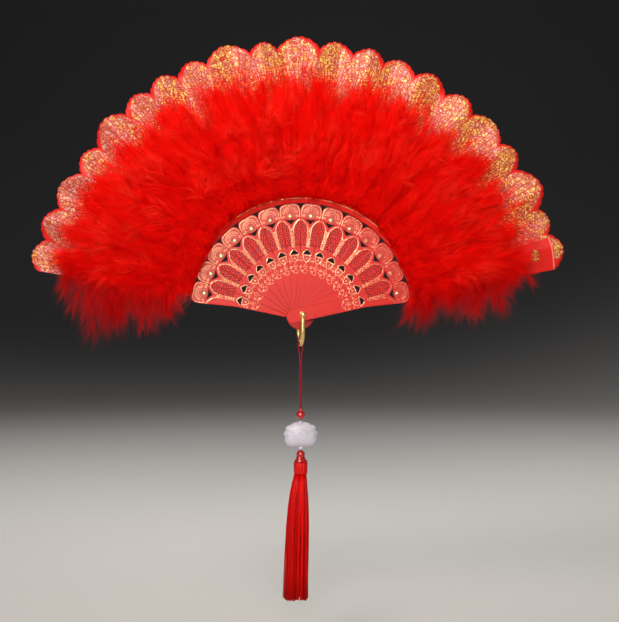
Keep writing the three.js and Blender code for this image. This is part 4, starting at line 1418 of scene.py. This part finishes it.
def longer_plumes(angle):
    """How much further out the plumes reach: most towards the rear guard, and least beside the flap."""
    return np.interp(angle, (12, 24, 90, 140, 168), (-1, 3, 0, 12, 14)) * MM


def fluff_start(angle):
    """Where the feathers start: past the trim line at the top, and over it towards both guards."""
    return FLUFF_INNER - FLUFF_LAP * np.interp(abs(angle - 90), (35, 60), (0, 1))


def within_edge(barbs):
    """The barbs of a plume that end short of the leaf's edge."""
    end = barbs[2]
    angle = np.clip(np.degrees(np.arctan2(end[:, 2], end[:, 0])), FIRST_STICK, LAST_STICK)
    kept = np.hypot(end[:, 0], end[:, 2]) < leaf_edge(angle) - FLUFF_MARGIN
    return tuple(part[kept] for part in barbs)


def tuft_plumes(start, end):
    """The plumes between two sticks.

    Long ones start at the inner edge with shorter ones laid over them, and a thin veil reaches past their
    tips. Short ones cover the hem, and a few stray wisps stand on top.
    """
    plumes = []
    for number in range(PLUMES_PER_TUFT):
        angle = start + (end - start) * (number + draws.uniform(0.1, 0.9)) / PLUMES_PER_TUFT
        over = number % 3 == 2
        foot = fluff_start(angle) + draws.uniform(*(OVERLAID_FEET if over else PLUME_FEET)) * MM
        reach = draws.uniform(*PLUME_TIPS) * MM + longer_plumes(angle)
        tip_angle = np.clip(angle + draws.normal(0, 6 if over else 3.5), FIRST_STICK, LAST_STICK)
        base = on_fan(angle, foot, fluff_back(angle, foot) - (6 if over else 1) * MM)
        tip = on_fan(tip_angle, reach, fluff_back(tip_angle, reach) - draws.uniform(1, 9) * MM)
        aside = draws.normal(0, 5)
        turn = math.radians(angle)
        rise = np.array((-aside * math.sin(turn), -draws.uniform(10, 26), aside * math.cos(turn))) * MM
        plumes.append(plume(base, tip, rise, 30 * MM, 6, 0.5, BARBS_PER_PLUME))
    for number in range(VEIL_PLUMES):
        angle = start + (end - start) * (number + draws.uniform(0, 1)) / VEIL_PLUMES
        foot = draws.uniform(*VEIL_FEET) * MM
        reach = draws.uniform(*VEIL_TIPS) * MM + longer_plumes(angle)
        base = on_fan(angle, foot, fluff_back(angle, foot) - 3 * MM)
        tip = on_fan(angle + draws.normal(0, 3), reach, fluff_back(angle, reach) - draws.uniform(1, 4) * MM)
        rise = np.array((0, -draws.uniform(2, 8), 0)) * MM
        *barbs, tones = plume(base, tip, rise, 26 * MM, 5, 0.3, BARBS_PER_PLUME // 4)
        plumes.append((*barbs, tones + VEIL_HIGHLIGHT))
    for number in range(HEM_PLUMES):
        angle = start + (end - start) * (number + draws.uniform(0, 1)) / HEM_PLUMES
        base = on_fan(angle, fluff_start(angle) + 2 * MM, fluff_back(angle, FLUFF_INNER))
        tip = on_fan(angle, FLUFF_INNER + 20 * MM, fluff_back(angle, FLUFF_INNER) - 4 * MM)
        plumes.append(plume(base, tip, np.zeros(3), 12 * MM, 3, 0.3, BARBS_PER_PLUME // 3))
    for _ in range(STRAY_WISPS):
        angle = draws.uniform(start, end)
        foot = draws.uniform(*STRAY_FEET) * MM
        base = on_fan(angle, foot, fluff_back(angle, foot) - draws.uniform(18, 26) * MM)
        turn = math.radians(angle + draws.normal(0, 40))
        tip = base + np.array((math.cos(turn), -0.25, math.sin(turn))) * 12 * MM
        *barbs, tones = plume(base, tip, np.zeros(3), 26 * MM, 1, 0.95, BARBS_PER_STRAY)
        plumes.append((*barbs, tones + STRAY_HIGHLIGHT))
    return [within_edge(barbs) for barbs in plumes]


def end_plumes(guard_angle, hangs, feet):
    """The plumes that hang past a guard in pointed wisps, which fan out and are painted darker towards their
    tips, as painted shade.
    """
    plumes = []
    outward = 1 if guard_angle < 90 else -1
    steps = np.linspace(0, 1, len(hangs))
    for number in range(PLUMES_PER_END):
        share = (number + draws.uniform(0, 1)) / PLUMES_PER_END
        hang = np.interp(share, steps, hangs)
        foot = np.interp(share, (0, 1), feet)
        angle = guard_angle + outward * draws.uniform(0, 5)
        base = on_fan(angle, foot, fluff_back(angle, foot) - draws.uniform(1, 7) * MM)
        fall = hang * draws.uniform(0.15, 0.66)
        aside = outward * fall * (share - 0.25 + draws.normal(0, 0.1))
        tip = base + np.array((aside, draws.uniform(-4, 4) * MM, -fall))
        rise = np.array((outward * 4, -draws.uniform(6, 14), 2)) * MM
        start, bend, end, tones = plume(base, tip, rise, hang * 0.42, 4, 0.92, BARBS_PER_PLUME // 3)
        # The lower a barb ends, the darker its tone: painted shade
        painted_shade_by_drop = np.clip((base[2] - end[:, 2]) / hang, 0, 1)
        plumes.append((start, bend, end, tones * (1 - painted_shade_by_drop)))
    return plumes


def add_feather_piece(node, plumes, template, radius, tone_range, down, body):
    start, bend, end, tones = (np.concatenate(parts) for parts in zip(*plumes))
    radii = radius * draws.uniform(0.6, 1.2, len(start))
    dark, light = tone_range
    tones = dark + (light - dark) * tones
    mesh = grow_strands(f"{node}_down", template, start, bend, end, radii, tones, in_front)
    feathers = add_object(f"{node}_down", mesh, down)
    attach(feathers, body)
    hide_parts(node)
    return feathers


def add_feathers(down):
    barb = strand_template(3, 1, True)
    for index in range(1, STICK_COUNT):
        start, end = stick_angle(index - 1), stick_angle(index)
        tuft = add_feather_piece(
            f"feather_tuft_{index:02d}", tuft_plumes(start, end), barb, BARB_RADIUS, TUFT_TONES, down,
            stick_body(index - 1),
        )
        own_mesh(tuft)
    add_feather_piece(
        "feather_end_front", end_plumes(FIRST_STICK, FRONT_HANG, FRONT_FEET), barb, WISP_RADIUS, WISP_TONES,
        down, "front_guard",
    )
    rear = add_feather_piece(
        "feather_end_rear", end_plumes(LAST_STICK, REAR_HANG, REAR_FEET), barb, WISP_RADIUS, WISP_TONES,
        down, "rear_guard",
    )
    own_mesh(rear)


# Pendant and tassel

def add_pendant_piece(node, bm, finish):
    piece = add_object(f"{node}_finished", mesh_of(bm, f"{node}_finished"), finish)
    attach(piece, "pendant")
    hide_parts(node)


def bead(radius, centre, nub):
    """A bead bored for the cord, with a small nub on top."""
    start = math.acos(CORE_BORE / radius)
    turns = np.linspace(-start, start, 25)
    rim = np.stack([radius * np.cos(turns), centre + radius * np.sin(turns)], axis=1)
    bm = turned(np.vstack([rim, rim[:1]]), UPRIGHT)
    if nub:
        knot = Matrix.Translation((0, 0, centre + radius + nub * 0.35)) @ Matrix.Diagonal((1, 1, 0.8, 1))
        bmesh.ops.create_uvsphere(bm, u_segments=24, v_segments=12, radius=nub, matrix=knot)
    return bm


def lotus_reach(angle):
    """The lotus's outline as a share of its half width and half height, at an angle above +X."""
    places = np.array([
        (0, 1), (0.3, 0.97), (0.54, 0.87), (0.62, 0.77), (0.78, 0.74), (0.88, 0.58),
        (0.87, 0.36), (0.98, 0.2), (1, 0.06), (0.93, -0.14), (0.95, -0.34),
        (0.9, -0.58), (0.78, -0.83), (0.5, -1), (0.24, -0.96), (0, -1),
    ])
    angles = np.degrees(np.arctan2(places[:, 1], places[:, 0]))
    return np.interp(angle, angles[::-1], np.hypot(places[:, 0], places[:, 1])[::-1])


def lotus():
    """A carved lotus: a pillow with a petalled outline and petals that fan out softly over both faces."""
    bm = bmesh.new()
    lying = Matrix.Rotation(math.pi / 2, 4, "X")
    bmesh.ops.create_uvsphere(bm, u_segments=128, v_segments=64, radius=1, matrix=lying)
    middle = (LOTUS_TOP + LOTUS_FOOT) / 2
    petal_root = 0.75
    # Each petal's lean in degrees, and its half width and length as shares
    petals = [(0, 0.46, 1.0), (-40, 0.36, 0.95), (40, 0.36, 0.95), (-80, 0.34, 0.9), (80, 0.34, 0.9)]
    for vert in bm.verts:
        angle = math.degrees(math.atan2(vert.co.z, abs(vert.co.x)))
        away = math.hypot(vert.co.x, vert.co.z)
        spread = float(lotus_reach(angle)) * away ** 0.62 / max(away, 1e-9)
        x, z = spread * vert.co.x, spread * vert.co.z
        swell = 0
        for lean, half, long in petals:
            turn = math.radians(lean)
            along = (z + petal_root) * math.cos(turn) + x * math.sin(turn)
            aside = x * math.cos(turn) - (z + petal_root) * math.sin(turn)
            inside = 1 - ((along - long * 0.55) / (long * 0.75)) ** 2 - (aside / half) ** 2
            swell = max(swell, min(1, max(0, inside) * 3))
        depth = (LOTUS_DEPTH / 2) * vert.co.y * (0.86 + 0.14 * swell)
        vert.co = Vector((LOTUS_WIDTH / 2 * x, depth, middle + LOTUS_HEIGHT / 2 * z))
    rim = CORE_BORE + GAP
    foot_nub = turned([
        (0, NUB_FOOT), (rim, NUB_FOOT), (rim + 0.8 * MM, NUB_FOOT + 0.3 * MM),
        (LOTUS_NUB_RADIUS, LOTUS_FOOT + 0.5 * MM), (0, LOTUS_FOOT + 3 * MM),
    ], UPRIGHT)
    join(bm, mesh_of(foot_nub, "lotus_foot_nub"), 0, True)
    top_nub = turned([
        (0, LOTUS_TOP - 2 * MM), (2.2 * MM, LOTUS_TOP - 1 * MM),
        (1.5 * MM, LOTUS_TOP + 0.9 * MM), (0, LOTUS_TOP + 1.3 * MM),
    ], UPRIGHT)
    join(bm, mesh_of(top_nub, "lotus_top_nub"), 0, True)
    return bm


def bell_cap():
    """A thin bell from the bead's waist down to a wavy rim."""
    waves, wave_rise = 8, 0.35 * MM
    foot = CAP_TOP - CAP_HEIGHT
    outer = [
        (3.0 * MM, LOWER_BEAD_Z - 1.2 * MM), (3.5 * MM, LOWER_BEAD_Z - 2 * MM),
        (3.9 * MM, CAP_TOP), (4.5 * MM, foot + 1.2 * MM),
    ]
    rim = [(BELL_RADIUS, foot + 0.3 * MM), (BELL_RADIUS - 0.1 * MM, foot)]
    inner = [(4.3 * MM, foot + 0.5 * MM), (3.5 * MM, CAP_TOP - 0.4 * MM), (2.4 * MM, LOWER_BEAD_Z - 1.8 * MM)]
    bm = turned([*outer, *rim, *inner, outer[0]], UPRIGHT, 64)
    for vert in bm.verts:
        angle = math.atan2(vert.co.y, vert.co.x)
        away = math.hypot(vert.co.x, vert.co.y) / BELL_RADIUS
        vert.co.z += wave_rise * away ** 6 * (math.cos(waves * angle) + 1)
    return bm


def gathered_head():
    """The tassel's head: threads gathered upright in soft folds, and drawn in a little at top and foot."""
    foot = COLLAR_TOP - COLLAR_HEIGHT
    share = np.linspace(0, 1, 25)
    radii = COLLAR_RADIUS * (1 - 0.1 * np.clip((share - 0.88) / 0.12, 0, 1) ** 2 - 0.05 * (1 - share) ** 4)
    profile = np.vstack([
        [(0, foot)], np.stack([radii, foot + COLLAR_HEIGHT * share], axis=1), [(0, COLLAR_TOP)],
    ])
    bm = turned(profile, UPRIGHT, 160)
    # Each kind of fold's depth as a share, its number round the head, and its shift
    folds = ((0.022, 11, 0), (0.02, 17, 1), (0.012, 46, 0))
    for vert in bm.verts:
        angle = math.atan2(vert.co.y, vert.co.x)
        fold = sum(depth * math.cos(number * angle + shift) for depth, number, shift in folds)
        vert.co.x *= 1 + fold
        vert.co.y *= 1 + fold
    return bm


def add_skirt(thread):
    """The tassel's threads: they leave the collar in a bundle, swell and hang down in thin locks."""
    count = SKIRT_THREADS
    order = np.arange(SKIRT_LOCKS)
    turn = GOLDEN_TURN * order + draws.uniform(-0.15, 0.15, SKIRT_LOCKS)
    share = np.sqrt(0.2 + 0.8 * (order + 0.5) / SKIRT_LOCKS)
    lock_tone = draws.uniform(0, 1, SKIRT_LOCKS)
    lock_rise = draws.uniform(0, 1.4, SKIRT_LOCKS) * MM
    lock = np.arange(count) % SKIRT_LOCKS

    def ring(radius, height, scatter):
        across = np.stack([radius * share * np.cos(turn), radius * share * np.sin(turn)], axis=1)[lock]
        across += draws.normal(0, scatter, (count, 2))
        return np.column_stack([across, np.broadcast_to(height, count)])

    top = ring(SKIRT_TOP_RADIUS - 0.8 * MM, SKIRT_TOP, 0.3 * MM)
    swell = ring(SKIRT_FOOT_RADIUS, SKIRT_TOP - SKIRT_HEIGHT * 0.2, LOCK_SPREAD * 1.4)
    ends = SKIRT_TOP - SKIRT_HEIGHT + lock_rise[lock] + draws.uniform(0, 1.2, count) * MM
    foot = ring(SKIRT_FOOT_RADIUS - 0.2 * MM, ends, LOCK_SPREAD)
    swell[:, 0] -= SKIRT_LEAN / 2
    foot[:, 0] -= SKIRT_LEAN
    strand = strand_template(4, 6, False)
    radius = np.full(count, THREAD_RADIUS)
    tones = 0.7 * lock_tone[lock] + 0.3 * draws.uniform(0, 1, count)
    mesh = grow_strands("tassel_skirt_threads", strand, top, swell, foot, radius, tones)
    skirt = add_object("tassel_skirt_threads", mesh, thread)
    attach(skirt, "pendant")
    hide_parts("tassel_skirt")


def add_pendant(acrylic, resin, wound, thread):
    add_pendant_piece("upper_bead", bead(UPPER_BEAD_RADIUS, UPPER_BEAD_Z, 1.7 * MM), acrylic)
    add_pendant_piece("lotus_pendant", lotus(), resin)
    add_pendant_piece("lower_bead", bead(LOWER_BEAD_RADIUS, LOWER_BEAD_Z, 0), acrylic)
    add_pendant_piece("tassel_cap", bell_cap(), acrylic)
    add_pendant_piece("tassel_collar", gathered_head(), wound)
    add_skirt(thread)


# Studio

def add_stage(paper):
    """A round sweep: a flat floor that curves up into a wall on every side."""
    curve = WALL_RADIUS - FLOOR_RADIUS
    turns = np.linspace(0, math.pi / 2, 13)
    sweep = np.stack([
        FLOOR_RADIUS + curve * np.sin(turns), FLOOR_Z + curve * (1 - np.cos(turns)),
    ], axis=1)
    bm = turned(np.vstack([[(0, FLOOR_Z)], sweep, [(WALL_RADIUS, FLOOR_Z + WALL_HEIGHT)]]), UPRIGHT, 64)
    add_object("studio_sweep", mesh_of(bm, "studio_sweep"), paper)


def add_light(name, place, aim, size, power, spread, warmth):
    """A round area light: place, aim and size in metres, power in watts and spread in degrees."""
    lamp = bpy.data.lights.new(name, "AREA")
    lamp.shape = "DISK"
    lamp.size = size
    lamp.energy = power
    lamp.spread = math.radians(spread)
    lamp.color = linear(warmth)[:3]
    holder = bpy.data.objects.new(name, lamp)
    holder.location = place
    holder.rotation_euler = (Vector(aim) - Vector(place)).to_track_quat("-Z", "Y").to_euler()
    holder.visible_camera = False
    bpy.context.scene.collection.objects.link(holder)


def add_lights():
    fan_middle = (0, 0, 0.06)
    fan_top = (0, 0, 0.3)
    add_light("front_softbox", (-0.3, -1.75, 0.55), fan_top, 0.9, 6, 46, "#FFFAF4")
    add_light("key_softbox", (-1.0, -1.2, 1.3), fan_middle, 0.8, 16, 180, "#FFF6EC")
    add_light("back_softbox", (0.3, 1.3, 1.4), fan_middle, 0.9, 20, 180, "#FFFFFF")
    world = bpy.data.worlds.new("studio_air")
    world.use_nodes = True
    world.node_tree.nodes["Background"].inputs["Color"].default_value = linear("#F2F2F4")
    world.node_tree.nodes["Background"].inputs["Strength"].default_value = 0.4
    bpy.context.scene.world = world
    bpy.context.scene.view_settings.view_transform = "Standard"


def add_camera():
    turn, tilt = math.radians(VIEW_AZIMUTH), math.radians(VIEW_ELEVATION)
    back = Vector((math.sin(turn) * math.cos(tilt), -math.cos(turn) * math.cos(tilt), math.sin(tilt)))
    facing = (-back).to_track_quat("-Z", "Y")
    right = facing @ Vector((1, 0, 0))
    up = facing @ Vector((0, 1, 0))
    aim = right * (PHOTO_WIDTH / 2 - PIVOT_PIXEL[0]) * PIXEL_SIZE
    aim += up * (PIVOT_PIXEL[1] - PHOTO_HEIGHT / 2) * PIXEL_SIZE
    lens = bpy.data.cameras.new("photo_view")
    lens.sensor_fit = "HORIZONTAL"
    lens.sensor_width = SENSOR_WIDTH
    lens.lens = SENSOR_WIDTH * VIEW_DISTANCE / (PHOTO_WIDTH * PIXEL_SIZE)
    camera = bpy.data.objects.new("photo_view", lens)
    camera.location = aim + back * VIEW_DISTANCE
    camera.rotation_euler = facing.to_euler()
    bpy.context.scene.collection.objects.link(camera)
    bpy.context.scene.camera = camera


add_camera()
add_lights()
add_stage(studio_paper())
gilt_brass = polished_gilt()
silk = rayon("red_rayon_thread", "#840002", "#DC0A06")
add_cords(wrapped_thread("twisted_red_cord", "#5A0410", "#84081A"))
add_sticks(moulded_red_plastic(), hot_foil_gold(), rubbed_foil())
add_pin(gilt_brass)
add_bail(gilt_brass)
add_leaf(printed_satin(), plain_satin(), gold_thread())
add_feathers(dyed_down())
gathered_thread = wrapped_thread("gathered_red_thread", "#6E0002", "#DC1408")
add_pendant(glossy_acrylic(), pearl_resin(), gathered_thread, silk)
